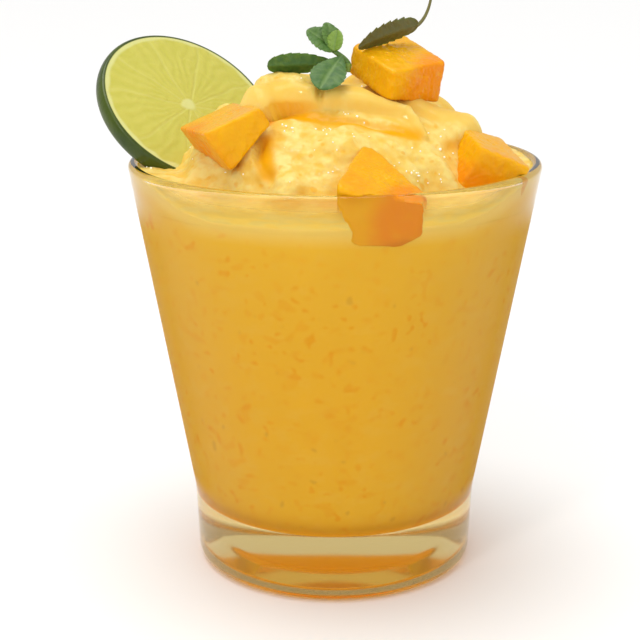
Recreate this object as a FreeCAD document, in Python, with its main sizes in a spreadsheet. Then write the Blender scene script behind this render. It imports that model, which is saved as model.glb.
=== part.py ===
"""Mango smoothie in a thick-based tumbler, topped with mango chunks, a lime wheel and herbs.

Frame: millimetres, +Z up, origin at the centre of the foot on the table, -Y towards the viewer.
The glass is one body of revolution. The drink fills it to the fill level, and a mound of the same
thick smoothie, the crown, is heaped on the drink. Chunks, lime and herbs sit in or on the crown,
and drink and crown are cut round them.
"""
import FreeCAD, Part

import math
import os

import Sketcher

doc = FreeCAD.newDocument("mango_smoothie")
sheet = doc.addObject("Spreadsheet::Sheet", "sizes")

SIZES = {
    # glass: foot, knee where the thick base turns into the flaring wall, rim
    "glass_height": 96.4,
    "rim_radius": 47.5,
    "knee_height": 17.7,
    "knee_radius": 33.56,
    "foot_radius": 32.8,
    "wall_width": 2.5,
    "floor_height": 15.0,
    "floor_round": 6.0,
    "heel_round": 3.0,
    "knee_round": 25.0,
    "lip_round": 1.1,
    # hollow under the foot
    "hollow_height": 5.0,
    "hollow_edge_height": 4.0,
    "hollow_radius": 17.0,
    "ring_inner_radius": 20.0,
    "hollow_round": 3.0,
    "ring_round": 1.0,
    # drink and crown
    "headspace": 7.4,
    "drink_gap": 0.1,
    "pool_width": 6.2,
    "crown_height": 27.5,
    # lime wheel: leans on the inner edge of the rim at one point of its back edge
    "lime_radius": 22.6,
    "lime_thickness": 4.0,
    "lime_rind_bulge": 0.8,
    "lime_rim_heading": -170.1,
    "lime_turn": -48.2,
    "lime_lean": 44.1,
    "lime_seat_angle": 30.3,
    "lime_gap": 0.15,
    # mango chunks and herbs
    "chunk_round": 1.6,
    "leaf_thickness": 0.7,
    "stem_radius": 0.75,
    "stem_length": 8.0,
    "stem_below_joint": 5.6,
    "petiole_radius": 0.45,
    "petiole_length": 7.0,
    "petiole_overlap": 1.4,
}

# One row per chunk: length, depth and thickness; what each side draws in towards the far face
# (left, right, low, high); its centre's distance from the axis, as a share of the crown's foot
# radius and what is added to it, heading round the axis, rise over the fill level; turn, lean
# and roll. The top chunk keeps its distance from the axis, and the others keep to the wall.
CHUNKS = {
    "chunk_top": (19.4, 15.2, 10.2, 0.1, 4.5, 3.2, 0.1, 0.0, 13.2, -21.5, 27.9, 128.0, -18.3, -5.0),
    "chunk_left": (21.9, 13.2, 10.4, 0.1, 0.1, 3.4, 2.6, 1.0, -7.2, -140.0, 16.6, 109.6, 4.6, 144.3),
    "chunk_front": (20.5, 15.5, 13.6, 7.0, 0.1, 0.1, 6.2, 1.0, -1.2, -74.0, 5.6, -109.3, 16.6, -4.9),
    "chunk_right": (19.5, 13.2, 12.0, 0.1, 6.6, 1.1, 1.1, 1.0, -2.6, -24.5, 8.6, 106.7, -12.2, 28.6),
}
CHUNK_SIZES = (
    "length", "depth", "thickness", "draw_left", "draw_right", "draw_low", "draw_high",
    "share", "reach", "heading", "rise", "turn", "lean", "roll",
)

# One row per swelling of the crown: share of the crown's foot radius, heading, rise over the fill
# level; half length, half width and half height; turn.
FOLDS = {
    "fold_brow": (0.40, -129.0, 23.6, 10.0, 6.0, 4.6, -30.0),
    "fold_crest": (0.36, -85.0, 22.8, 6.5, 5.0, 4.4, -30.0),
    "fold_ridge": (0.57, -60.0, 19.2, 7.5, 4.8, 4.6, -28.0),
    "fold_tail": (0.75, -47.0, 14.8, 6.5, 4.8, 4.4, -10.0),
    "fold_lump": (0.89, -105.0, 6.2, 5.2, 3.4, 3.2, 15.0),
    "fold_back": (0.55, 107.0, 17.5, 13.0, 9.0, 6.0, 10.0),
    "fold_shoulder": (0.66, 40.0, 14.0, 11.0, 8.0, 7.0, -45.0),
    "fold_bank": (0.59, 90.0, 0.0, 70.0, 44.0, 8.0, 0.0),
    "fold_step": (0.85, 10.0, 6.5, 9.0, 7.0, 7.0, 95.0),
}

# Hollows pressed into the crown beside the chunks that lean on the glass, in the same terms.
DENTS = {
    "dent_front": (1.02, -78.0, 14.0, 8.0, 8.0, 6.5, 0.0),
    "dent_right": (1.04, -35.0, 13.0, 10.5, 9.0, 8.0, 40.0),
}
FOLD_SIZES = ("share", "heading", "rise", "half_length", "half_width", "half_height", "turn")

# One row per mint leaf: length, width; side and front offset of its base from the sprig's joint,
# rise over the joint; heading, pitch (positive droops) and roll.
LEAVES = {
    "leaf_left": (17.5, 6.0, 0.0, 0.0, -0.2, 181.0, 8.0, 62.0),
    "leaf_front": (12.2, 8.0, -1.8, -0.6, -0.2, -120.0, 40.0, 12.0),
    "leaf_tuft_low": (8.2, 4.2, -1.0, 0.2, 1.4, 162.0, -30.0, -35.0),
    "leaf_tuft_high": (7.2, 3.8, -1.0, 0.2, 1.8, 118.0, -58.0, 40.0),
    "leaf_tuft_young": (6.2, 4.0, -0.8, 0.2, 1.6, 62.0, -32.0, -20.0),
    "leaf_tuft_side": (6.4, 3.6, -1.0, 0.0, 1.2, -147.0, -12.0, 25.0),
}
LEAF_SIZES = ("length", "width", "side", "front", "rise", "heading", "droop", "roll")
PLACES = {
    "sprig_side": 1.0,
    "sprig_front": -9.0,
    "sprig_rise": 3.9,
    "stem_heading": 134.0,
    "stem_pitch": 46.0,
    "herb_length": 15.0,
    "herb_width": 5.6,
    "herb_side": 5.9,
    "herb_front": -8.6,
    "herb_rise": 6.2,
    "herb_heading": 22.0,
    "herb_pitch": 25.0,
    "herb_roll": 58.0,
    "petiole_pitch": 50.0,
}


def table_sizes(rows, columns):
    """Name every number of a table: the row's name followed by the column's."""
    return {f"{row}_{column}": value
            for row, values in rows.items()
            for column, value in zip(columns, values)}


def fill_sheet(values):
    for line, (alias, value) in enumerate(values.items(), start=1):
        sheet.set(f"A{line}", alias)
        sheet.set(f"B{line}", str(value))
        sheet.setAlias(f"B{line}", alias)
    doc.recompute()


def bind(thing, **expressions):
    """Bind properties to expressions in which a word is the alias of a cell."""
    for name, expression in expressions.items():
        thing.setExpression(name, expression)


def placed(x, y, z, turn="0", lean="0", roll="0"):
    return f"placement(vector({x}; {y}; {z}); rotation({turn}; {lean}; {roll}))"


def around(reach, heading, z, turn="0", lean="0", roll="0"):
    """Placement at a distance from the glass's axis and a heading round it."""
    return placed(f"({reach}) * cos({heading} * 1 deg)", f"({reach}) * sin({heading} * 1 deg)",
                  z, turn, lean, roll)


def cell(alias):
    return f"sizes.{alias}"


def radius_at(level):
    """Expression of the cavity's radius at a level: the outer cone less the wall."""
    slope = "(sizes.rim_radius - sizes.knee_radius) / (sizes.glass_height - sizes.knee_height)"
    return f"(sizes.knee_radius + {slope} * ({level} - sizes.knee_height) - sizes.wall_width)"


def value_of(expression):
    return float(sheet.evalExpression(expression.replace("sizes.", "")))


FILL_LEVEL = "(sizes.glass_height - sizes.headspace)"
FLOOR_RADIUS = radius_at("sizes.floor_height")
POOL_RADIUS = radius_at(FILL_LEVEL)
MOUTH_RADIUS = radius_at("sizes.glass_height")
CROWN_RADIUS = f"({POOL_RADIUS} - sizes.pool_width)"
CROWN_TOP = f"({FILL_LEVEL} + sizes.crown_height)"


def corner_arc(before, corner, after, size):
    """Where an arc that touches both sides of a corner starts and ends, and its centre."""
    back = (before - corner).normalize()
    forth = (after - corner).normalize()
    half = back.getAngle(forth) / 2
    reach = size / math.tan(half)
    centre = corner + (back + forth).normalize() * (size / math.sin(half))
    return corner + back * reach, corner + forth * reach, centre


def counted_arc(centre, size, start, end):
    """Arc with its ends in counter-clockwise order, and whether they had to be swapped."""
    first, last = (math.atan2(spot.y - centre.y, spot.x - centre.x) for spot in (start, end))
    swapped = (last - first) % math.tau > math.pi
    if swapped:
        first, last = last, first
    circle = Part.Circle(centre, FreeCAD.Vector(0, 0, 1), size)
    return Part.ArcOfCircle(circle, first, first + (last - first) % math.tau), swapped


def revolved(name, points):
    """PartDesign body: a closed outline turned round Z.

    Each point is a (radius, height) or (radius, height, rounding) of expressions. A point fixes
    its corner, and a rounding puts an arc there that touches both sides.
    """
    body = doc.addObject("PartDesign::Body", name)
    plane = [item for item in body.Origin.OriginFeatures if item.Role == "XZ_Plane"][0]
    outline = body.newObject("Sketcher::SketchObject", f"{name}_outline")
    outline.AttachmentSupport = [(plane, "")]
    outline.MapMode = "FlatFace"
    corners = [FreeCAD.Vector(value_of(point[0]), value_of(point[1]), 0) for point in points]
    rounds = [value_of(point[2]) if len(point) > 2 else 0 for point in points]
    count = len(corners)
    arcs = {index: corner_arc(corners[index - 1], corners[index], corners[(index + 1) % count], size)
            for index, size in enumerate(rounds) if size}
    for index in range(count):
        following = (index + 1) % count
        start = arcs[index][1] if index in arcs else corners[index]
        end = arcs[following][0] if following in arcs else corners[following]
        outline.addGeometry(Part.LineSegment(start, end))
    for index in range(count):
        before = (index - 1) % count
        corner, first = index, 1
        if index in arcs:
            start, end, centre = arcs[index]
            curve, swapped = counted_arc(centre, rounds[index], start, end)
            arc = outline.addGeometry(curve)
            corner = outline.addGeometry(Part.Point(corners[index]), True)
            near, far = (2, 1) if swapped else (1, 2)
            outline.addConstraint([
                Sketcher.Constraint("Tangent", before, 2, arc, near),
                Sketcher.Constraint("Tangent", index, 1, arc, far),
                Sketcher.Constraint("PointOnObject", corner, 1, before),
                Sketcher.Constraint("PointOnObject", corner, 1, index),
            ])
            number = outline.addConstraint(Sketcher.Constraint("Radius", arc, rounds[index]))
            outline.renameConstraint(number, f"round_{index}")
            outline.setExpression(f"Constraints.round_{index}", points[index][2])
        else:
            outline.addConstraint(Sketcher.Constraint("Coincident", before, 2, index, 1))
        for axis, kind, expression in (("x", "DistanceX", points[index][0]),
                                       ("z", "DistanceY", points[index][1])):
            if expression == "0":
                on_axis = -2 if axis == "x" else -1
                outline.addConstraint(Sketcher.Constraint("PointOnObject", corner, first, on_axis))
                continue
            value = corners[index].x if axis == "x" else corners[index].y
            number = outline.addConstraint(
                Sketcher.Constraint(kind, -1, 1, corner, first, value))
            outline.renameConstraint(number, f"corner_{index}_{axis}")
            outline.setExpression(f"Constraints.corner_{index}_{axis}", expression)
    turned = body.newObject("PartDesign::Revolution", f"{name}_turned")
    turned.Profile = outline
    turned.ReferenceAxis = (outline, ["V_Axis"])
    turned.Angle = 360
    doc.recompute()
    return body


def make_glass():
    return revolved("glass", [
        ("0", cell("hollow_height")),
        (cell("hollow_radius"), cell("hollow_edge_height"), cell("hollow_round")),
        (cell("ring_inner_radius"), "0", cell("ring_round")),
        (cell("foot_radius"), "0", cell("heel_round")),
        (cell("knee_radius"), cell("knee_height"), cell("knee_round")),
        (cell("rim_radius"), cell("glass_height"), cell("lip_round")),
        (MOUTH_RADIUS, cell("glass_height"), cell("lip_round")),
        (FLOOR_RADIUS, cell("floor_height"), cell("floor_round")),
        ("0", cell("floor_height")),
    ])


def make_drink_blank():
    """The drink before it is cut round the fruit: the cavity less a hair's gap."""
    gap = "sizes.drink_gap"
    return revolved("drink_blank", [
        ("0", f"sizes.floor_height + {gap}"),
        (f"{FLOOR_RADIUS} - {gap}", f"sizes.floor_height + {gap}", f"sizes.floor_round - {gap}"),
        (f"{POOL_RADIUS} - {gap}", FILL_LEVEL),
        ("0", FILL_LEVEL),
    ])


def make_reach():
    """The space that food may fill: the cavity less the gap, and the same width over the rim."""
    gap = "sizes.drink_gap"
    cup = doc.addObject("Part::Cone", "reach_in_cup")
    bind(cup, Radius1=f"{FLOOR_RADIUS} - {gap}", Radius2=f"{MOUTH_RADIUS} - {gap}",
         Height="sizes.glass_height - sizes.floor_height",
         Placement=placed("0", "0", cell("floor_height")))
    above = doc.addObject("Part::Cylinder", "reach_above_rim")
    bind(above, Radius=f"{MOUTH_RADIUS} - {gap}",
         Height=f"{CROWN_TOP} - sizes.glass_height + sizes.crown_height",
         Placement=placed("0", "0", cell("glass_height")))
    return combined("Part::MultiFuse", "reach", Shapes=[cup, above])


def combined(kind, name, **operands):
    result = doc.addObject(kind, name)
    for key, value in operands.items():
        setattr(result, key, value)
    return result


def make_chunk(name):
    """A knife-cut wedge, and the same wedge with its edges rounded."""
    size = {column: cell(f"{name}_{column}") for column in CHUNK_SIZES}
    cut = doc.addObject("Part::Wedge", f"{name}_cut")
    half_length, half_depth, half_thick = (f"{size[key]} / 2"
                                           for key in ("length", "depth", "thickness"))
    bind(cut, Xmin=f"-{half_length}", Xmax=half_length, Ymin=f"-{half_depth}", Ymax=half_depth,
         Zmin=f"-{half_thick}", Zmax=half_thick,
         X2min=f"{size['draw_left']} - {half_length}", X2max=f"{half_length} - {size['draw_right']}",
         Z2min=f"{size['draw_low']} - {half_thick}", Z2max=f"{half_thick} - {size['draw_high']}",
         Placement=around(f"{CROWN_RADIUS} * {size['share']} + {size['reach']}", size["heading"],
                          f"{FILL_LEVEL} + {size['rise']}",
                          size["turn"], size["lean"], size["roll"]))
    doc.recompute()
    soft = combined("Part::Fillet", f"{name}_soft", Base=cut)
    radius = value_of(cell("chunk_round"))
    soft.Edges = [(number, radius, radius) for number in range(1, len(cut.Shape.Edges) + 1)]
    return cut, soft


def make_lime():
    """Disc with a bulging rind, leaning on the rim, and the wider tool that clears the crown."""
    seat = around(MOUTH_RADIUS, cell("lime_rim_heading"), "sizes.glass_height + sizes.lime_gap",
                  cell("lime_turn"), cell("lime_lean"))
    edge = "(sizes.lime_radius - sizes.lime_rind_bulge)"
    centre = placed(f"-{edge} * sin(sizes.lime_seat_angle * 1 deg)",
                    f"{edge} * cos(sizes.lime_seat_angle * 1 deg)", "0")
    wheel = doc.addObject("Part::Cylinder", "lime_core")
    bind(wheel, Radius=edge, Height=cell("lime_thickness"),
         Placement=f"{seat} * {centre}")
    rind = doc.addObject("Part::Ellipsoid", "lime_rind")
    middle = placed("0", "0", "sizes.lime_thickness / 2")
    bind(rind, Radius2=cell("lime_radius"), Radius3=cell("lime_radius"),
         Radius1="sizes.lime_thickness / 2 / sqrt(1 - pow((sizes.lime_radius - "
                 "sizes.lime_rind_bulge) / sizes.lime_radius; 2))",
         Placement=f"{seat} * {centre} * {middle}")
    slab = doc.addObject("Part::Cylinder", "lime_slab")
    bind(slab, Radius="sizes.lime_radius + sizes.lime_thickness", Height=cell("lime_thickness"),
         Placement=f"{seat} * {centre}")
    bulge = combined("Part::Common", "lime_bulge", Base=rind, Tool=slab)
    wheel_whole = combined("Part::MultiFuse", "lime_whole", Shapes=[wheel, bulge])
    room = doc.addObject("Part::Cylinder", "lime_room")
    below = placed("0", "0", "-sizes.lime_gap")
    bind(room, Radius="sizes.lime_radius + sizes.lime_gap",
         Height="sizes.lime_thickness + 2 * sizes.lime_gap",
         Placement=f"{seat} * {centre} * {below}")
    return wheel_whole, room


def make_swelling(name):
    """Ellipsoid that stands at a share of the crown's foot radius."""
    swelling = doc.addObject("Part::Ellipsoid", name)
    bind(swelling, Radius1=cell(f"{name}_half_height"), Radius2=cell(f"{name}_half_length"),
         Radius3=cell(f"{name}_half_width"),
         Placement=around(f"{CROWN_RADIUS} * sizes.{name}_share", cell(f"{name}_heading"),
                          f"{FILL_LEVEL} + sizes.{name}_rise", cell(f"{name}_turn")))
    return swelling


def make_crown_blank(reach):
    """Dome and folds of thick smoothie, kept to the cavity and stood on the fill level."""
    dome = doc.addObject("Part::Ellipsoid", "crown_dome")
    bind(dome, Radius1=cell("crown_height"), Radius2=CROWN_RADIUS, Radius3=CROWN_RADIUS,
         Placement=placed("0", "0", FILL_LEVEL))
    heaps = [dome]
    heaps += [make_swelling(name) for name in FOLDS]
    heaped = combined("Part::MultiFuse", "crown_heaped", Shapes=heaps)
    dents = combined("Part::MultiFuse", "dents", Shapes=[make_swelling(name) for name in DENTS])
    pressed = combined("Part::Cut", "crown_pressed", Base=heaped, Tool=dents)
    above = doc.addObject("Part::Cylinder", "above_level")
    bind(above, Radius="sizes.rim_radius + sizes.crown_height",
         Height="sizes.crown_height + sizes.glass_height",
         Placement=placed("0", "0", FILL_LEVEL))
    kept = combined("Part::Common", "crown_over_level", Base=pressed, Tool=above)
    return combined("Part::Common", "crown_blank", Base=kept, Tool=reach)


def make_leaf(name, length, width, thickness, placement):
    """Pointed leaf: where two equal circles that meet at base and tip overlap."""
    circle = f"(pow({length}; 2) + pow({width}; 2)) / (4 * {width})"
    sides = []
    for side, sign in (("near", "-"), ("far", "")):
        disc = doc.addObject("Part::Cylinder", f"{name}_{side}")
        bind(disc, Radius=circle, Height=thickness,
             Placement=f"{placement} * " + placed(
                 f"{length} / 2", f"{sign}({circle} - {width} / 2)", f"-{thickness} / 2"))
        sides.append(disc)
    return combined("Part::Common", name, Base=sides[0], Tool=sides[1])


def make_sprig():
    """Stem with leaves that all start at its joint."""
    joint = ("sizes.sprig_side", "sizes.sprig_front", f"{CROWN_TOP} + sizes.sprig_rise")
    stem = doc.addObject("Part::Cylinder", "sprig_stem")
    bind(stem, Radius=cell("stem_radius"), Height=cell("stem_length"),
         Placement=placed(*joint, cell("stem_heading"), "90 - sizes.stem_pitch") + " * "
         + placed("0", "0", "-sizes.stem_below_joint"))
    parts = [stem]
    for name in LEAVES:
        size = {column: cell(f"{name}_{column}") for column in LEAF_SIZES}
        place = placed(f"{joint[0]} + {size['side']}", f"{joint[1]} + {size['front']}",
                       f"{joint[2]} + {size['rise']}", size["heading"], size["droop"], size["roll"])
        parts.append(make_leaf(name, size["length"], size["width"], cell("leaf_thickness"), place))
    return combined("Part::MultiFuse", "sprig_whole", Shapes=parts)


def make_herb():
    """Single leaf on the top chunk, its bare stalk curling up."""
    place = placed("sizes.herb_side", "sizes.herb_front", f"{CROWN_TOP} + sizes.herb_rise",
                   cell("herb_heading"), "-sizes.herb_pitch", cell("herb_roll"))
    blade = make_leaf("herb_blade", cell("herb_length"), cell("herb_width"),
                      cell("leaf_thickness"), place)
    stalk = doc.addObject("Part::Cylinder", "herb_stalk")
    foot = placed("sizes.herb_length - sizes.petiole_overlap", "0", "0")
    level = placed("0", "0", "0", "0", "0", "-sizes.herb_roll")
    bind(stalk, Radius=cell("petiole_radius"), Height=cell("petiole_length"),
         Placement=f"{place} * {foot} * {level} * "
         + placed("0", "0", "0", "0", "90 + sizes.herb_pitch - sizes.petiole_pitch"))
    return combined("Part::MultiFuse", "herb_whole", Shapes=[blade, stalk])


def node(name, thing):
    thing.Label = name
    return name, thing


def build_nodes():
    glass = make_glass()
    drink_blank = make_drink_blank()
    reach = make_reach()
    lime, lime_room = make_lime()
    crown_blank = make_crown_blank(reach)
    nodes = [node("tumbler", glass)]
    cuts = [lime_room]
    for name in CHUNKS:
        cut, soft = make_chunk(name)
        nodes.append(node(f"mango_{name}", combined("Part::Common", f"{name}_kept",
                                                    Base=soft, Tool=reach)))
        cuts.append(cut)
    sprig = make_sprig()
    herb = make_herb()
    fruit = combined("Part::MultiFuse", "fruit_room", Shapes=cuts)
    pricked = combined("Part::Cut", "crown_pricked", Base=crown_blank, Tool=sprig)
    nodes.append(node("smoothie", combined("Part::Cut", "drink_kept", Base=drink_blank, Tool=fruit)))
    nodes.append(node("crown", combined("Part::Cut", "crown_kept", Base=pricked, Tool=fruit)))
    nodes.append(node("lime_wheel", lime))
    nodes.append(node("mint_sprig", sprig))
    nodes.append(node("herb_leaf", herb))
    doc.recompute()
    return nodes


def check_and_write(nodes):
    for item in doc.Objects:
        if "Invalid" in item.State or "Error" in item.State:
            raise RuntimeError(f"{item.Name} failed: {item.State}")
    for name, thing in nodes:
        shape = thing.Shape
        if shape.isNull() or not shape.isValid():
            raise RuntimeError(f"{name} has no valid shape")
        if len(shape.Solids) != 1:
            raise RuntimeError(f"{name} has {len(shape.Solids)} solids")
    os.makedirs("parts", exist_ok=True)
    for name, thing in nodes:
        thing.Shape.exportStep(f"parts/{name}.step")
        box = thing.Shape.BoundBox
        print(f"{name}: {thing.Shape.Volume:.1f} mm3, x {box.XMin:.1f} {box.XMax:.1f}, "
              f"y {box.YMin:.1f} {box.YMax:.1f}, z {box.ZMin:.1f} {box.ZMax:.1f}")


fill_sheet({
    **SIZES,
    **table_sizes(CHUNKS, CHUNK_SIZES),
    **table_sizes(FOLDS, FOLD_SIZES),
    **table_sizes(DENTS, FOLD_SIZES),
    **table_sizes(LEAVES, LEAF_SIZES),
    **PLACES,
})
check_and_write(build_nodes())
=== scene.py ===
"""Mango smoothie in a thick-based tumbler, dressed for the camera.

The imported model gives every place. Each sub-assembly is a class whose fields are its sizes in metres,
and each finish is a frozen dataclass that builds one material.
"""
import logging
import math
from dataclasses import dataclass, field
from enum import Enum

import bpy
import numpy as np
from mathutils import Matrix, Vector


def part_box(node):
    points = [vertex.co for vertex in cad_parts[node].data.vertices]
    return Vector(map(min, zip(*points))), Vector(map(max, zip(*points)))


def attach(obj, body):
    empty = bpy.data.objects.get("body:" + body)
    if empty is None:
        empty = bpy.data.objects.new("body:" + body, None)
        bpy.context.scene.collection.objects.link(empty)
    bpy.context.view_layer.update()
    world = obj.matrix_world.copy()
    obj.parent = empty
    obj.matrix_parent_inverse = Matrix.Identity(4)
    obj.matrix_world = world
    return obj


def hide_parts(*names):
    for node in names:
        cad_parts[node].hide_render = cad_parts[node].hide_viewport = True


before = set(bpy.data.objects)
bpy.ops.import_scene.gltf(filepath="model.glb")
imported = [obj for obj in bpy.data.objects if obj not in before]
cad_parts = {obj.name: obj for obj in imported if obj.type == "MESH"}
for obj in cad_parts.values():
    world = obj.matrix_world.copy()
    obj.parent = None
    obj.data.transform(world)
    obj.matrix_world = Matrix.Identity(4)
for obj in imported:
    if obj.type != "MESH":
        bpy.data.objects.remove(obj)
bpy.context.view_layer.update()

log = logging.getLogger("smoothie")
logging.basicConfig(level=logging.INFO, format="%(name)s: %(message)s")

MM = 0.001
TAU = 2 * math.pi
BODY = "root"
Array = np.ndarray
Colour = tuple[float, float, float]
Place = tuple[float, float, float]


# ---------------------------------------------------------------- surfaces


@dataclass
class Skin:
    """A closed surface as arrays: points, faces, and the tones that its finish reads."""

    points: Array
    faces: list
    tones: dict[str, Array] = field(default_factory=dict)

    def flipped(self) -> "Skin":
        """Returns the same surface with every face turned over."""
        return Skin(self.points, [face[::-1] for face in self.faces], self.tones)

    def outward(self) -> "Skin":
        """Returns the surface with faces outwards: the volume that they enclose is positive.

        Returns:
            This surface, or its flipped copy.
        """
        corners = np.array([face[:3] for face in self.faces])
        others = np.array([(face[0], face[2], face[-1]) for face in self.faces])
        volume = sum(
            np.einsum("ij,ij->i", self.points[t[:, 0]],
                      np.cross(self.points[t[:, 1]], self.points[t[:, 2]])).sum()
            for t in (corners, others)
        )
        return self if volume > 0 else self.flipped()

    def to_piece(self, name: str, finish: bpy.types.Material, slot: str,
                 stands_for: tuple[str, ...] = ()) -> bpy.types.Object:
        """Makes the mesh object, dresses it and hangs it on the body.

        Args:
            name: name of the piece.
            finish: its material.
            slot: the record's material slot; not used.
            stands_for: CAD nodes that it replaces.

        Returns:
            The new object, at the origin.
        """
        mesh = bpy.data.meshes.new(name)
        mesh.from_pydata(self.points.tolist(), [], self.faces)
        mesh.polygons.foreach_set("use_smooth", np.ones(len(self.faces), bool))
        for tone, values in self.tones.items():
            layer = mesh.attributes.new(tone, "FLOAT", "POINT")
            layer.data.foreach_set("value", values.astype(np.float32).ravel())
        mesh.update()
        mesh.materials.append(finish)
        piece = bpy.data.objects.new(name, mesh)
        bpy.context.scene.collection.objects.link(piece)
        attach(piece, BODY)
        if stands_for:
            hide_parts(*stands_for)
        log.info("%s: %d points, %d faces", name, len(self.points), len(self.faces))
        return piece


def joined(skins: list[Skin]) -> Skin:
    """Returns one surface that holds all the given ones, with their tones end to end.

    Args:
        skins: surfaces that carry the same tones.

    Returns:
        The joined surface.
    """
    starts = np.cumsum([0] + [len(skin.points) for skin in skins])
    faces = [[int(corner + start) for corner in face]
             for skin, start in zip(skins, starts) for face in skin.faces]
    tones = {tone: np.concatenate([skin.tones[tone] for skin in skins])
             for tone in skins[0].tones}
    return Skin(np.concatenate([skin.points for skin in skins]), faces, tones)


def belted(rings: Array, first: Array, last: Array,
           tones: dict[str, tuple[Array, float, float]] | None = None) -> Skin:
    """Closes a grid of rings with a pole at each end.

    Args:
        rings: array of rows, columns and 3 coordinates; each row is a ring that closes on itself.
        first: pole before the first ring.
        last: pole after the last ring.
        tones: name to (value per grid point, value at the first pole, value at the last pole).

    Returns:
        The closed surface, facing outwards.
    """
    rows, columns = rings.shape[:2]
    points = np.concatenate([rings.reshape(-1, 3), first[None], last[None]])
    row, column = np.meshgrid(np.arange(rows - 1), np.arange(columns), indexing="ij")
    after = (column + 1) % columns
    quads = np.stack([row * columns + column, row * columns + after,
                      (row + 1) * columns + after, (row + 1) * columns + column], -1)
    around = np.arange(columns)
    following = (around + 1) % columns
    low = np.stack([np.full(columns, rows * columns), following, around], -1)
    top_row = (rows - 1) * columns
    high = np.stack([np.full(columns, rows * columns + 1), top_row + around,
                     top_row + following], -1)
    faces = quads.reshape(-1, 4).tolist() + low.tolist() + high.tolist()
    flat = {name: np.concatenate([np.broadcast_to(grid, (rows, columns)).ravel(), [start, end]])
            for name, (grid, start, end) in (tones or {}).items()}
    return Skin(points, faces, flat).outward()


def looped(rings: Array, tones: dict[str, Array]) -> Skin:
    """Closes a grid of rings whose last ring meets its first, like a tyre.

    Args:
        rings: array of rows, columns and 3 coordinates; each row is a ring.
        tones: name to a value per grid point.

    Returns:
        The closed surface, facing outwards.
    """
    rows, columns = rings.shape[:2]
    row, column = np.meshgrid(np.arange(rows), np.arange(columns), indexing="ij")
    next_row, after = (row + 1) % rows, (column + 1) % columns
    quads = np.stack([row * columns + column, row * columns + after,
                      next_row * columns + after, next_row * columns + column], -1)
    flat = {name: grid.ravel() for name, grid in tones.items()}
    return Skin(rings.reshape(-1, 3), quads.reshape(-1, 4).tolist(), flat).outward()


def lathed(profile: Array, turns: int) -> Skin:
    """Turns a profile of (radius, height) rows, from axis to axis, round the Z axis.

    A point at angle a is (radius cos a, radius sin a, height).

    Args:
        profile: rows of (radius, height); the first and the last lie on the axis.
        turns: columns round the axis.

    Returns:
        The closed surface, facing outwards.
    """
    angle = np.linspace(0, TAU, turns, endpoint=False)
    radius, height = profile[1:-1, 0:1], profile[1:-1, 1:2]
    rings = np.stack([radius * np.cos(angle), radius * np.sin(angle),
                      np.broadcast_to(height, (len(radius), turns))], -1)
    return belted(rings, np.array([0, 0, profile[0, 1]]), np.array([0, 0, profile[-1, 1]]))


def rounded(corners: list[tuple[float, float, float]], steps: int = 10) -> Array:
    """Rounds the corners of a profile.

    Each corner is (radius, height, rounding). Its arc touches both sides: it starts at
    rounding / tan(half the corner's angle) from the corner and its centre lies on the bisector.

    Args:
        corners: the profile; its first and last corners stay sharp.
        steps: points on each arc.

    Returns:
        Rows of (radius, height).
    """
    points = np.array([corner[:2] for corner in corners])
    path = [points[0]]
    for before, corner, after, size in zip(points, points[1:], points[2:],
                                           [corner[2] for corner in corners[1:]]):
        if size <= 0:
            path.append(corner)
            continue
        back, forth = unit(before - corner), unit(after - corner)
        half = math.acos(np.clip(back @ forth, -1, 1)) / 2
        centre = corner + unit(back + forth) * size / math.sin(half)
        start, end = (corner + side * size / math.tan(half) - centre for side in (back, forth))
        share = np.linspace(0, 1, steps)[:, None]
        path.extend(centre + size * unit(start * (1 - share) + end * share))
    path.append(points[-1])
    return np.array(path)


def unit(vectors: Array) -> Array:
    """Returns the vectors divided by their lengths."""
    return vectors / np.maximum(np.linalg.norm(vectors, axis=-1, keepdims=True), 1e-12)


def turned(heading: float, pitch: float, roll: float) -> Array:
    """Rotation matrix: roll about X, then pitch about Y, then heading about Z, in degrees.

    Args:
        heading: turn about Z, which comes last.
        pitch: turn about Y.
        roll: turn about X, which comes first.

    Returns:
        The 3 by 3 matrix.
    """
    a, b, c = np.radians([heading, pitch, roll])
    about_z = np.array([[math.cos(a), -math.sin(a), 0], [math.sin(a), math.cos(a), 0], [0, 0, 1]])
    about_y = np.array([[math.cos(b), 0, math.sin(b)], [0, 1, 0], [-math.sin(b), 0, math.cos(b)]])
    about_x = np.array([[1, 0, 0], [0, math.cos(c), -math.sin(c)], [0, math.sin(c), math.cos(c)]])
    return about_z @ about_y @ about_x


def ripples(points: Array, length: float, seed: int, waves: int = 24) -> Array:
    """Smooth unevenness of about -1 to 1.

    The sum of sine waves that run in random directions, each with a wavelength near the given
    length, divided by the square root of half their number.

    Args:
        points: where it is wanted; the last axis holds 3 coordinates.
        length: the mean wavelength, in metres.
        seed: picks the waves.
        waves: how many there are.

    Returns:
        One value per point.
    """
    rng = np.random.default_rng(seed)
    ways = unit(rng.normal(size=(waves, 3))) / (length * rng.uniform(0.7, 1.45, (waves, 1)))
    angles = points.reshape(-1, 3) @ ways.T * TAU + rng.uniform(0, TAU, waves)
    return (np.sin(angles).sum(1) / math.sqrt(waves / 2) / 1.6).reshape(points.shape[:-1])


def eased(value: Array, low: float, high: float) -> Array:
    """Goes smoothly from 0 at low to 1 at high: 3 s squared less 2 s cubed."""
    share = np.clip((value - low) / (high - low), 0, 1)
    return share * share * (3 - 2 * share)


def grid_normals(rings: Array) -> Array:
    """Normals of a ringed grid: the cross product of the steps along its rows and columns.

    Args:
        rings: array of rows, columns and 3 coordinates.

    Returns:
        A unit normal per grid point.
    """
    along = np.gradient(rings, axis=0)
    around = np.roll(rings, -1, axis=1) - np.roll(rings, 1, axis=1)
    return unit(np.cross(around, along))


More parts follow.
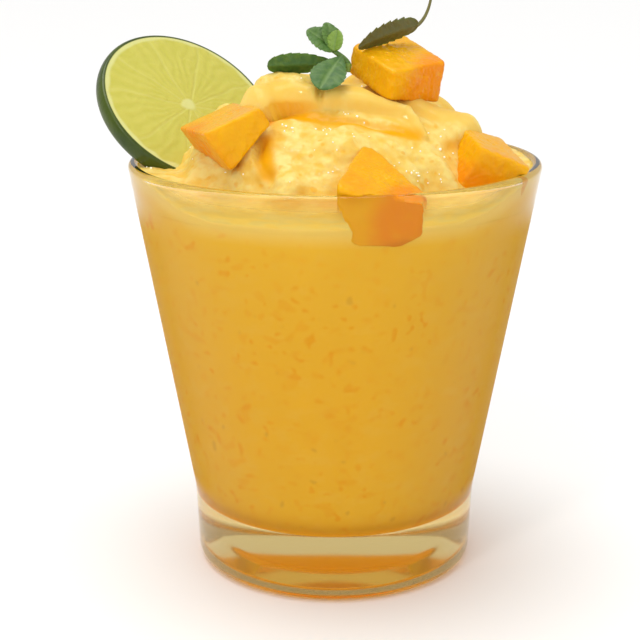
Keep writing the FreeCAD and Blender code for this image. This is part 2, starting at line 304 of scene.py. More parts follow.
def spread(values: Array, passes: int) -> Array:
    """Averages each grid value with its four neighbours, again and again; columns wrap.

    Args:
        values: grid of numbers.
        passes: how often it is averaged.

    Returns:
        The smoothed grid.
    """
    for _ in range(passes):
        padded = np.pad(values, ((1, 1), (0, 0)), mode="edge")
        values = (padded[:-2] + padded[2:] + np.roll(values, 1, 1) + np.roll(values, -1, 1)
                  + 2 * values) / 6
    return values


# ---------------------------------------------------------------- shader building


class Amount:
    """A number that varies over a surface; arithmetic on it adds Math nodes."""

    def __init__(self, recipe: "Recipe", socket: bpy.types.NodeSocket) -> None:
        """Wraps an output socket of the recipe's tree."""
        self.recipe = recipe
        self.socket = socket

    def maths(self, operation: str, *terms: object) -> "Amount":
        """Returns the result of a Math node on the terms.

        Args:
            operation: the Math node's operation.
            terms: amounts or plain numbers.

        Returns:
            The node's output.
        """
        node = self.recipe.node("ShaderNodeMath", {"operation": operation},
                                dict(enumerate(terms)))
        return Amount(self.recipe, node.outputs[0])

    def __add__(self, other: object) -> "Amount":
        """Sum."""
        return self.maths("ADD", self, other)

    def __sub__(self, other: object) -> "Amount":
        """Difference."""
        return self.maths("SUBTRACT", self, other)

    def __rsub__(self, other: object) -> "Amount":
        """Difference from a number."""
        return self.maths("SUBTRACT", other, self)

    def __mul__(self, other: object) -> "Amount":
        """Product."""
        return self.maths("MULTIPLY", self, other)

    def ramped(self, low: float, high: float) -> "Amount":
        """Goes smoothly from 0 at low to 1 at high.

        Args:
            low: where the ramp starts.
            high: where it ends.

        Returns:
            The ramp's output.
        """
        node = self.recipe.node("ShaderNodeMapRange", {"interpolation_type": "SMOOTHSTEP"},
                                {"Value": self, "From Min": low, "From Max": high})
        return Amount(self.recipe, node.outputs["Result"])

    __radd__ = __add__
    __rmul__ = __mul__


class Recipe:
    """The node tree of one material."""

    def __init__(self, name: str) -> None:
        """Starts an empty material.

        Args:
            name: the material's name.
        """
        self.material = bpy.data.materials.new(name)
        self.material.use_nodes = True
        self.tree = self.material.node_tree
        self.tree.nodes.clear()

    def node(self, kind: str, settings: dict | None = None,
             sockets: dict | None = None) -> bpy.types.ShaderNode:
        """Adds a node.

        Args:
            kind: the node's type.
            settings: properties that are set first, such as a Math node's operation.
            sockets: values or links, by the input's name or number.

        Returns:
            The new node.
        """
        node = self.tree.nodes.new(kind)
        for name, setting in (settings or {}).items():
            setattr(node, name, setting)
        for name, value in (sockets or {}).items():
            target = node.inputs[name]
            if isinstance(value, Amount):
                value = value.socket
            if isinstance(value, bpy.types.NodeSocket):
                self.tree.links.new(value, target)
            elif isinstance(value, tuple) and target.type == "RGBA":
                target.default_value = (*value, 1.0)
            else:
                target.default_value = value
        return node

    def place(self) -> bpy.types.NodeSocket:
        """Object coordinates, which are the frame's metres."""
        return self.node("ShaderNodeTexCoord").outputs["Object"]

    def tone(self, name: str) -> Amount:
        """A value that the mesh carries at its points."""
        node = self.node("ShaderNodeAttribute", {"attribute_name": name})
        return Amount(self, node.outputs["Fac"])

    def noise(self, length: float, detail: float = 2.0, stretch: Colour = (1, 1, 1),
              warp: float = 0.0) -> Amount:
        """Cloudy noise of about 0.3 to 0.7.

        Args:
            length: size of its features, in metres.
            detail: octaves.
            stretch: how much finer it is along each axis.
            warp: distortion.

        Returns:
            The noise.
        """
        mapped = self.node("ShaderNodeMapping", {}, {"Vector": self.place(), "Scale": stretch})
        node = self.node("ShaderNodeTexNoise", {}, {
            "Vector": mapped.outputs[0], "Scale": 1 / length, "Detail": detail,
            "Distortion": warp})
        return Amount(self, node.outputs["Fac"])

    def height(self) -> Amount:
        """Height over the table, in metres."""
        node = self.node("ShaderNodeSeparateXYZ", {}, {0: self.place()})
        return Amount(self, node.outputs["Z"])

    def blend(self, share: object, first: object, second: object) -> bpy.types.NodeSocket:
        """Mixes two colours: first where the share is 0, second where it is 1.

        Args:
            share: how much of the second colour there is, 0 to 1.
            first: a colour, or the socket of one.
            second: another.

        Returns:
            The mixed colour's socket.
        """
        node = self.node("ShaderNodeMix", {"data_type": "RGBA"},
                         {0: share, 6: first, 7: second})
        return node.outputs[2]

    def bump(self, height: Amount, strength: float, distance: float) -> bpy.types.NodeSocket:
        """Normal of a fine relief: its height in shares of the distance.

        Args:
            height: the relief, 0 to 1.
            strength: how much of it shows.
            distance: its full height, in metres.

        Returns:
            The normal's socket.
        """
        node = self.node("ShaderNodeBump", {}, {"Strength": strength, "Distance": distance,
                                                "Height": height})
        return node.outputs["Normal"]

    def finished(self, sockets: dict) -> bpy.types.Material:
        """Ends the tree in a Principled shader with these sockets and returns the material."""
        return self.ended(self.node("ShaderNodeBsdfPrincipled", {}, sockets))

    def ended(self, shader: bpy.types.ShaderNode) -> bpy.types.Material:
        """Ends the tree in the given shader and returns the material."""
        self.node("ShaderNodeOutputMaterial", {}, {"Surface": shader.outputs[0]})
        return self.material


@dataclass(frozen=True)
class ClearGlass:
    """Clear soda-lime glass, and light passes it; its thick base is tinted with the drink's colour as a
    painted reflection of the drink.

    Seen at a flat angle, the wall in front of the drink bends light without mirroring the
    table, so the drink's colour runs out to the edge. Base and rim keep their full gloss.
    """

    index: float = 1.5
    tint: Colour = (0.99, 0.98, 0.95)
    # Tint of the thick base: a painted reflection of the drink.
    painted_drink_reflection: Colour = (0.95, 0.73, 0.30)
    sheen: Colour = (0.36, 0.32, 0.24)
    shadow_tint: Colour = (0.82, 0.81, 0.79)
    base_shade: float = 0.75
    base_top: float = 16 * MM
    wall_start: float = 23 * MM
    clean_end: float = 82 * MM
    clean_start: float = 91 * MM
    cleanest: float = 0.85
    outer_blend: float = 1 / 3

    def build(self) -> bpy.types.Material:
        """Builds the material's nodes.

        Returns:
            The material.
        """
        recipe = Recipe("clear_glass")
        wall = recipe.height().ramped(self.base_top, self.wall_start)
        # The base is tinted towards the drink's colour: a painted reflection of the drink.
        glass = recipe.node("ShaderNodeBsdfPrincipled", {}, {
            "Base Color": recipe.blend(wall, self.painted_drink_reflection, self.tint),
            "Roughness": 0.10 - wall * 0.10, "IOR": self.index,
            "Specular Tint": self.sheen, "Transmission Weight": 1.0})
        weight = recipe.node("ShaderNodeLayerWeight", {}, {"Blend": self.outer_blend})
        facing = Amount(recipe, weight.outputs["Facing"]).ramped(0.2, 0.55)
        mirrored = Amount(recipe, weight.outputs["Fresnel"]).ramped(0.93, 0.99)
        below = 1 - recipe.height().ramped(self.clean_end, self.clean_start)
        clean = facing * (1 - mirrored) * wall * below * self.cleanest
        bent = recipe.node("ShaderNodeBsdfRefraction", {}, {
            "Color": self.tint, "Roughness": 0.0, "IOR": self.index})
        glass = recipe.node("ShaderNodeMixShader", {}, {
            0: clean, 1: glass.outputs[0], 2: bent.outputs[0]})
        through = recipe.node("ShaderNodeBsdfTransparent", {}, {"Color": self.shadow_tint})
        shadow = Amount(recipe, recipe.node("ShaderNodeLightPath").outputs["Is Shadow Ray"])
        mixed = recipe.node("ShaderNodeMixShader", {}, {
            0: shadow * (1 - self.base_shade + wall * self.base_shade), 1: glass.outputs[0],
            2: through.outputs[0]})
        return recipe.ended(mixed)


@dataclass(frozen=True)
class DrinkFinish:
    """Smoothie behind the glass: yellow with fine orange flecks of pulp, a little lighter towards the
    top, which is painted light.

    The drink's underside emits the colour of the light that seeps through the base: painted light.
    """

    body: Colour = (0.86, 0.495, 0.027)
    high: Colour = (0.86, 0.515, 0.034)
    band: Colour = (0.90, 0.66, 0.17)
    fleck: Colour = (0.84, 0.36, 0.006)
    curd: Colour = (0.86, 0.53, 0.052)
    speck: Colour = (0.60, 0.29, 0.03)
    painted_glow: Colour = (0.26, 0.11, 0.004)
    level: float = 89 * MM
    underside: float = 14.5 * MM
    painted_glow_end: float = 18 * MM

    def build(self) -> bpy.types.Material:
        """Builds the material's nodes.

        Returns:
            The material.
        """
        recipe = Recipe("smoothie_drink")
        # Painted light: the drink turns a little lighter towards its top.
        high = recipe.height().ramped(self.level - 0.045, self.level - 0.004)
        base = recipe.blend(high, self.body, self.high)
        curds = recipe.noise(6 * MM, 3.0, (1.0, 1.0, 1.6)).ramped(0.5, 0.7)
        base = recipe.blend(curds * 0.45, base, self.curd)
        patches = recipe.noise(16 * MM, 1.0).ramped(0.42, 0.62)
        flecks = recipe.noise(3.4 * MM, 0.0, (1.0, 1.0, 1.3)).ramped(0.60, 0.76)
        base = recipe.blend(flecks * (0.12 + 0.25 * patches), base, self.fleck)
        dots = recipe.noise(1.9 * MM, 0.0).ramped(0.64, 0.78)
        base = recipe.blend(dots * (0.3 + 0.4 * patches), base, self.fleck)
        specks = recipe.noise(2.1 * MM, 0.0, (1.0, 1.0, 0.8)).ramped(0.79, 0.85)
        base = recipe.blend(specks * 0.35, base, self.speck)
        base = recipe.blend(recipe.tone("band") * 0.8, base, self.band)
        grain = recipe.noise(0.9 * MM, 2.0)
        # Painted light: the underside emits a warm colour, fading out upwards.
        under = recipe.height().ramped(self.underside, self.painted_glow_end)
        return recipe.finished({
            "Base Color": base, "Roughness": 0.6, "Specular IOR Level": 0.0,
            "Emission Color": recipe.blend(under, self.painted_glow, (0.0, 0.0, 0.0)),
            "Emission Strength": 1.0, "Normal": recipe.bump(grain, 0.1, 0.2 * MM)})


@dataclass(frozen=True)
class CrownFinish:
    """Half-frozen smoothie, wet and grainy: pale where icy, pale as painted light on what stands out,
    and orange as painted shade in its creases.
    """

    # Pale: the icy frost's colour, also used as painted light on bulges and the pool's top.
    pale: Colour = (0.83, 0.64, 0.195)
    body: Colour = (0.81, 0.49, 0.062)
    deep: Colour = (0.80, 0.37, 0.006)
    painted_hollow_shade: Colour = (0.80, 0.24, 0.003)
    at_wall: Colour = (0.86, 0.52, 0.036)
    band: Colour = (0.90, 0.66, 0.17)

    def build(self) -> bpy.types.Material:
        """Builds the material's nodes.

        Returns:
            The material.
        """
        recipe = Recipe("smoothie_crown")
        icy = recipe.tone("icy")
        # Pale frost on icy slopes, and painted light on bulges, relief peaks and the pool's top.
        base = recipe.blend(recipe.tone("frost_and_painted_light"), self.body, self.pale)
        mottle = recipe.noise(5 * MM, 3.0, (1, 1, 1), 0.6).ramped(0.48, 0.64)
        base = recipe.blend(mottle * (0.15 + 0.5 * icy), base, self.body)
        crumbs = recipe.noise(1.7 * MM, 3.0).ramped(0.50, 0.66)
        base = recipe.blend(crumbs * (0.10 + 0.25 * icy), base, self.body)
        dots = recipe.noise(2.8 * MM, 1.0).ramped(0.64, 0.72)
        base = recipe.blend(dots * icy * 0.5, base, self.deep)
        # Painted shade: hollows and grooves take the deeper orange.
        base = recipe.blend(recipe.tone("painted_crease_shade"), base, self.deep)
        # Painted shade in the hollow beside the left chunk.
        base = recipe.blend(recipe.tone("painted_hollow_shade"), base, self.painted_hollow_shade)
        free = 1 - recipe.tone("walled")
        base = recipe.blend(free, self.at_wall, base)
        base = recipe.blend(recipe.tone("band") * 0.8, base, self.band)
        grain = recipe.noise(1.1 * MM, 4.0)
        return recipe.finished({
            "Base Color": base, "Roughness": 0.3 + grain * icy * 0.35,
            "Subsurface Weight": 0.2, "Subsurface Radius": (1.0, 0.6, 0.15),
            "Subsurface Scale": 2 * MM, "Specular IOR Level": 0.0,
            "Coat Weight": (0.22 + icy * 0.08) * free, "Coat Roughness": 0.07,
            "Normal": recipe.bump(grain * icy, 0.3, 0.4 * MM)})


@dataclass(frozen=True)
class FilmFinish:
    """Thin smear of smoothie left on the glass: thickest at the drink's edge, then streaky."""

    colour: Colour = (0.95, 0.72, 0.18)
    streak: Colour = (0.93, 0.66, 0.12)

    def build(self) -> bpy.types.Material:
        """Builds the material's nodes.

        Returns:
            The material.
        """
        recipe = Recipe("smoothie_film")
        streaks = recipe.noise(6 * MM, 2.0, (1.0, 1.0, 5.0), 0.4)
        return recipe.finished({
            "Base Color": recipe.blend(streaks.ramped(0.4, 0.6), self.colour, self.streak),
            "Roughness": 0.6, "Specular IOR Level": 0.0,
            "Alpha": recipe.tone("veil") * (0.7 + streaks * 0.6)})


@dataclass(frozen=True)
class SparkleFinish:
    """Ice grain: nearly white, bright and smooth, with a faint emission; the grains stand for glints on
    the wet ice, as painted highlights.
    """

    colour: Colour = (0.98, 0.95, 0.80)
    shade: Colour = (0.97, 0.90, 0.62)

    def build(self) -> bpy.types.Material:
        """Builds the material's nodes.

        Returns:
            The material.
        """
        recipe = Recipe("ice_sparkle")
        cloud = recipe.noise(2 * MM, 1.0)
        # Emission: painted light, so the grains shine as glints.
        return recipe.finished({
            "Base Color": recipe.blend(cloud * 0.3, self.colour, self.shade),
            "Roughness": 0.08, "Emission Color": self.colour, "Emission Strength": 0.15})


@dataclass(frozen=True)
class MangoFinish:
    """Ripe mango flesh, cut: deep yellow with faint fibres, wet; riper orange at random, and painted
    shade in the same orange on the faces turned one way.
    """

    flesh: Colour = (0.82, 0.40, 0.003)
    ripe_and_shade: Colour = (0.80, 0.25, 0.003)
    light: Colour = (0.88, 0.47, 0.010)
    sheen: Colour = (1.0, 0.8, 0.4)

    def build(self) -> bpy.types.Material:
        """Builds the material's nodes.

        Returns:
            The material.
        """
        recipe = Recipe("mango_flesh")
        clouds = recipe.noise(9 * MM, 2.0).ramped(0.45, 0.7)
        base = recipe.blend(clouds * 0.35, self.flesh, self.ripe_and_shade)
        # Painted shade: the faces turned the chunk's shaded way take the riper orange.
        base = recipe.blend(recipe.tone("ripe_and_shade"), base, self.ripe_and_shade)
        fibres = recipe.noise(2.6 * MM, 3.0, (0.5, 1.0, 1.0), 0.8)
        base = recipe.blend(fibres.ramped(0.5, 0.75) * 0.35, base, self.light)
        grain = recipe.noise(0.7 * MM, 2.0)
        return recipe.finished({
            "Base Color": base, "Roughness": 0.2 + grain * 0.25,
            "Subsurface Weight": 0.2, "Subsurface Radius": (1.0, 0.4, 0.05),
            "Subsurface Scale": 2 * MM, "Specular IOR Level": 0.25, "Specular Tint": self.sheen,
            "Coat Weight": 0.12, "Coat Roughness": 0.06,
            "Normal": recipe.bump(fibres * 0.6 + grain * 0.4, 0.12, 0.4 * MM)})


@dataclass(frozen=True)
class LimeFinish:
    """Lime wheel: juice sacs between pale membranes, pith, and a glossy pitted rind."""

    flesh: Colour = (0.60, 0.56, 0.105)
    juice: Colour = (0.55, 0.52, 0.082)
    membrane: Colour = (0.635, 0.60, 0.155)
    pith: Colour = (0.68, 0.68, 0.26)
    rind: Colour = (0.062, 0.092, 0.006)
    dark_rind: Colour = (0.035, 0.060, 0.006)

    def build(self) -> bpy.types.Material:
        """Builds the material's nodes.

        Returns:
            The material.
        """
        recipe = Recipe("lime_wheel")
        sacs = recipe.tone("sac")
        base = recipe.blend(sacs, self.juice, self.flesh)
        base = recipe.blend(recipe.tone("membrane"), base, self.membrane)
        base = recipe.blend(recipe.tone("pith"), base, self.pith)
        pores = recipe.noise(1.1 * MM, 2.0)
        green = recipe.blend(recipe.noise(9 * MM, 2.0).ramped(0.35, 0.65), self.dark_rind,
                             self.rind)
        rind = recipe.tone("rind")
        base = recipe.blend(rind, base, green)
        return recipe.finished({
            "Base Color": base, "Roughness": 0.36 - rind * 0.06,
            "Subsurface Weight": 0.2, "Subsurface Radius": (0.8, 1.0, 0.3),
            "Subsurface Scale": 1.5 * MM, "Specular IOR Level": 0.25,
            "Coat Weight": 0.08, "Coat Roughness": 0.12,
            "Normal": recipe.bump(pores, 0.25, 0.4 * MM)})


class LeafKind(Enum):
    """The two herbs, each with the colours of its blade, young parts and veins."""

    MINT = ("mint",
            (0.0423, 0.1221, 0.016), (0.1878, 0.305, 0.0343), (0.162, 0.2705, 0.0612))
    HERB = ("herb",
            (0.0887, 0.0887, 0.0144), (0.162, 0.1384, 0.0252), (0.2623, 0.2307, 0.0648))


@dataclass(frozen=True)
class LeafFinish:
    """Leaf with paler veins and young tips."""

    kind: LeafKind

    def build(self) -> bpy.types.Material:
        """Builds the material's nodes.

        Returns:
            The material.
        """
        name, blade, young, vein = self.kind.value
        recipe = Recipe(f"{name}_leaf")
        base = recipe.blend(recipe.tone("young"), blade, young)
        mottle = recipe.noise(1.6 * MM, 3.0).ramped(0.35, 0.7)
        base = recipe.blend(mottle * 0.25, base, young)
        base = recipe.blend(recipe.tone("vein") * 0.7, base, vein)
        crinkle = recipe.noise(0.9 * MM, 3.0)
        return recipe.finished({
            "Base Color": base, "Roughness": 0.42 + crinkle * 0.2,
            "Subsurface Weight": 0.1, "Subsurface Radius": (0.5, 1.0, 0.2),
            "Subsurface Scale": 0.6 * MM,
            "Normal": recipe.bump(crinkle, 0.4, 0.3 * MM)})


@dataclass(frozen=True)
class TableFinish:
    """Pale, even table."""

    colour: Colour = (0.93, 0.925, 0.915)
    shade: Colour = (0.91, 0.905, 0.895)

    def build(self) -> bpy.types.Material:
        """Builds the material's nodes.

        Returns:
            The material.
        """
        recipe = Recipe("table")
        cloud = recipe.noise(0.2, 2.0)
        return recipe.finished({
            "Base Color": recipe.blend(cloud * 0.1, self.colour, self.shade),
            "Roughness": 0.7})


# ---------------------------------------------------------------- glass and drink


@dataclass
class Tumbler:
    """Thick-based tumbler of revolution; the cavity's radius grows evenly with height."""

    height: float
    rim_radius: float
    knee_height: float = 17.7 * MM
    knee_radius: float = 33.56 * MM
    foot_radius: float = 32.8 * MM
    wall: float = 2.5 * MM
    floor_height: float = 15.0 * MM
    floor_round: float = 6.0 * MM
    heel_round: float = 3.0 * MM
    knee_round: float = 25.0 * MM
    lip_round: float = 1.1 * MM
    hollow_height: float = 5.0 * MM
    hollow_edge_height: float = 4.0 * MM
    hollow_radius: float = 17.0 * MM
    ring_inner_radius: float = 20.0 * MM
    hollow_round: float = 3.0 * MM
    ring_round: float = 1.0 * MM
    turns: int = 256

    def cavity(self, level: Array) -> Array:
        """Radius of the cavity at a level: the outer cone less the wall."""
        slope = (self.rim_radius - self.knee_radius) / (self.height - self.knee_height)
        return self.knee_radius + slope * (level - self.knee_height) - self.wall

    def build(self) -> bpy.types.Object:
        """Makes the glass from its rounded profile.

        Returns:
            The piece.
        """
        profile = rounded([
            (0, self.hollow_height, 0),
            (self.hollow_radius, self.hollow_edge_height, self.hollow_round),
            (self.ring_inner_radius, 0, self.ring_round),
            (self.foot_radius, 0, self.heel_round),
            (self.knee_radius, self.knee_height, self.knee_round),
            (self.rim_radius, self.height, self.lip_round),
            (self.cavity(self.height), self.height, self.lip_round),
            (self.cavity(self.floor_height), self.floor_height, self.floor_round),
            (0, self.floor_height, 0),
        ])
        return lathed(profile, self.turns).to_piece(
            "tumbler_glass", ClearGlass().build(), "tumbler_glass", ("tumbler",))


@dataclass
class Drink:
    """What fills the tumbler up to the crown; its side reaches just into the wall."""

    glass: Tumbler
    crown: "Crown"
    into_wall: float = 0.11 * MM
    turns: int = 256

    @property
    def top(self) -> float:
        """Height of the drink, just behind the foot of the crown's skin."""
        return self.crown.level - self.crown.side + 0.3 * MM

    def build(self) -> bpy.types.Object:
        """Makes the drink as a solid of revolution.

        Returns:
            The piece.
        """
        floor = self.glass.floor_height - self.into_wall
        profile = rounded([
            (0, floor, 0),
            (self.glass.cavity(floor) + self.into_wall, floor,
             self.glass.floor_round + self.into_wall),
            (self.glass.cavity(self.top) + self.into_wall, self.top, 0),
            (0, self.top, 0),
        ], 14)
        foot, side = profile[:-2], profile[-2:]
        share = np.append(np.linspace(0, 1, 40)[1:-1], [0.999, 1])[:, None]
        profile = np.concatenate([foot, foot[-1] * (1 - share) + side[0] * share, side[1:]])
        skin = lathed(profile, self.turns)
        skin.tones["band"] = self.crown.band(skin.points)
        return skin.to_piece("smoothie_fill", DrinkFinish().build(), "smoothie_drink",
                             ("smoothie",))


@dataclass(frozen=True)
class Fold:
    """One swelling of the crown: an ellipsoid at a share of the foot radius."""

    share: float
    heading: float
    rise: float
    half_length: float
    half_width: float
    half_height: float
    turn: float = 0.0

    def depth(self, points: Array, foot: float, level: float) -> Array:
        """Returns each point's distance from the centre, in units of the ellipsoid.

        Args:
            points: where it is wanted.
            foot: radius of the heap's foot.
            level: height of the drink's surface.

        Returns:
            0 at the centre and 1 on the ellipsoid, for each point.
        """
        reach = foot * self.share
        heading = math.radians(self.heading)
        centre = np.array([reach * math.cos(heading), reach * math.sin(heading),
                           level + self.rise * MM])
        local = (points - centre) @ turned(self.turn, 0, 0)
        halves = np.array([self.half_length, self.half_width, self.half_height]) * MM
        return np.linalg.norm(local / halves, axis=-1)


@dataclass(frozen=True)
class Roll:
    """Thick strand of smoothie laid on the heap: a tube that tapers along a curve.

    Each station is (share of the foot radius, heading, rise over the level, tube radius).
    """

    stations: tuple[tuple[float, float, float, float], ...]
    steps: int = 9

    def depth(self, points: Array, foot: float, level: float) -> Array:
        """Millimetres under the tube's skin: its radius less the distance to its middle line.

        Args:
            points: where it is wanted.
            foot: radius of the heap's foot.
            level: height of the drink's surface.

        Returns:
            One depth per point, below 0 outside the tube.
        """
        share, heading, rise, size = np.array(self.stations).T
        heading = np.radians(heading)
        knots = np.stack([foot * share * np.cos(heading), foot * share * np.sin(heading),
                          level + rise * MM, size * MM], -1)
        line = curve([tuple(knot) for knot in knots], self.steps)
        best = np.full(points.shape[:-1], -1.0)
        for start, end in zip(line, line[1:]):
            step = (end - start)[:3]
            along = np.clip((points - start[:3]) @ step / (step @ step), 0, 1)
            gap = np.linalg.norm(points - start[:3] - along[..., None] * step, axis=-1)
            best = np.maximum(best, start[3] + along * (end[3] - start[3]) - gap)
        return best / MM


# In order: the brow's round left end, its ridge that tapers to the right, the right shoulder,
# and two strands round the back.
CROWN_ROLLS = (
    Roll(((0.60, -136, 21.4, 4.0), (0.50, -136, 22.8, 4.0), (0.44, -122, 22.4, 3.0),
          (0.42, -106, 22.2, 2.8), (0.38, -92, 22.8, 3.0))),
    Roll(((0.36, -92, 22.9, 3.2), (0.36, -74, 22.8, 3.3), (0.47, -56, 21.0, 3.2),
          (0.58, -50, 19.2, 2.4), (0.74, -46, 16.0, 0.6))),
    Roll(((0.26, -30, 20.0, 5.0), (0.50, -28, 18.2, 6.0), (0.74, -20, 13.0, 6.0))),
    Roll(((0.34, 150, 20.5, 5.5), (0.52, 118, 19.0, 6.0), (0.64, 84, 15.5, 5.4),
          (0.76, 48, 10.5, 4.6))),
    Roll(((0.30, 60, 21.0, 5.0), (0.50, 48, 19.0, 5.6), (0.70, 20, 14.0, 5.2))),
)
# In order: the brow's left lobe, four bulges down the front, and three round the back.
CROWN_LUMPS = (
    Fold(0.38, -140, 23.2, 7.0, 5.5, 4.6, -20),
    Fold(0.78, -122, 8.5, 5.0, 6.0, 6.4, -30),
    Fold(0.93, -106, 5.6, 5.2, 4.0, 4.2, -16),
    Fold(0.66, -88, 9.5, 9.5, 7.5, 8.0, 0),
    Fold(0.78, -50, 5.6, 8.0, 7.0, 7.5, 40),
    Fold(0.70, 150, 8.0, 11.0, 9.0, 9.0, 60),
    Fold(0.72, 95, 6.0, 10.0, 9.0, 8.0, 0),
    Fold(0.72, 30, 5.0, 9.0, 9.0, 9.0, 60),
)
# Creases under the brow, beside the left chunk and at the ridge's end, which get painted shade in a
# deeper orange.
CROWN_GROOVES = (
    Roll(((0.66, -142, 19.0, 1.4), (0.58, -127, 20.2, 1.8), (0.56, -111, 20.6, 1.6),
          (0.57, -94, 20.4, 1.5))),
    Roll(((0.57, -94, 20.4, 1.5), (0.60, -84, 20.0, 1.8), (0.65, -70, 18.9, 1.8),
          (0.70, -60, 17.6, 1.5), (0.75, -52, 16.2, 0.8))),
    Roll(((0.78, -121, 15.4, 0.8), (0.87, -118, 12.5, 1.1), (0.93, -114, 9.6, 1.0))),
    Roll(((0.86, -38, 14.2, 0.9), (0.87, -36, 13.8, 0.9))),
)
# Plain dent between the brow's two parts.
CROWN_DENTS = (
    Roll(((0.38, -98, 25.6, 0.9), (0.49, -99, 23.8, 1.1), (0.54, -99, 21.4, 1.1))),
)
# Painted shade in the hollow beside the left chunk.
CROWN_HOLLOW_SHADES = (
    Roll(((0.66, -140, 18.6, 1.6), (0.65, -131, 18.8, 1.8), (0.66, -126, 18.4, 1.0))),
)
# Smoothie pushed up against the wall at the back.
WALL_BANK = Fold(0.59, 90, 0, 70, 44, 8)


def deepest(strands: tuple[Roll, ...], points: Array, foot: float, level: float) -> Array:
    """Depth of each point under the skin of the strand that it lies deepest in."""
    return np.max([strand.depth(points, foot, level) for strand in strands], 0)


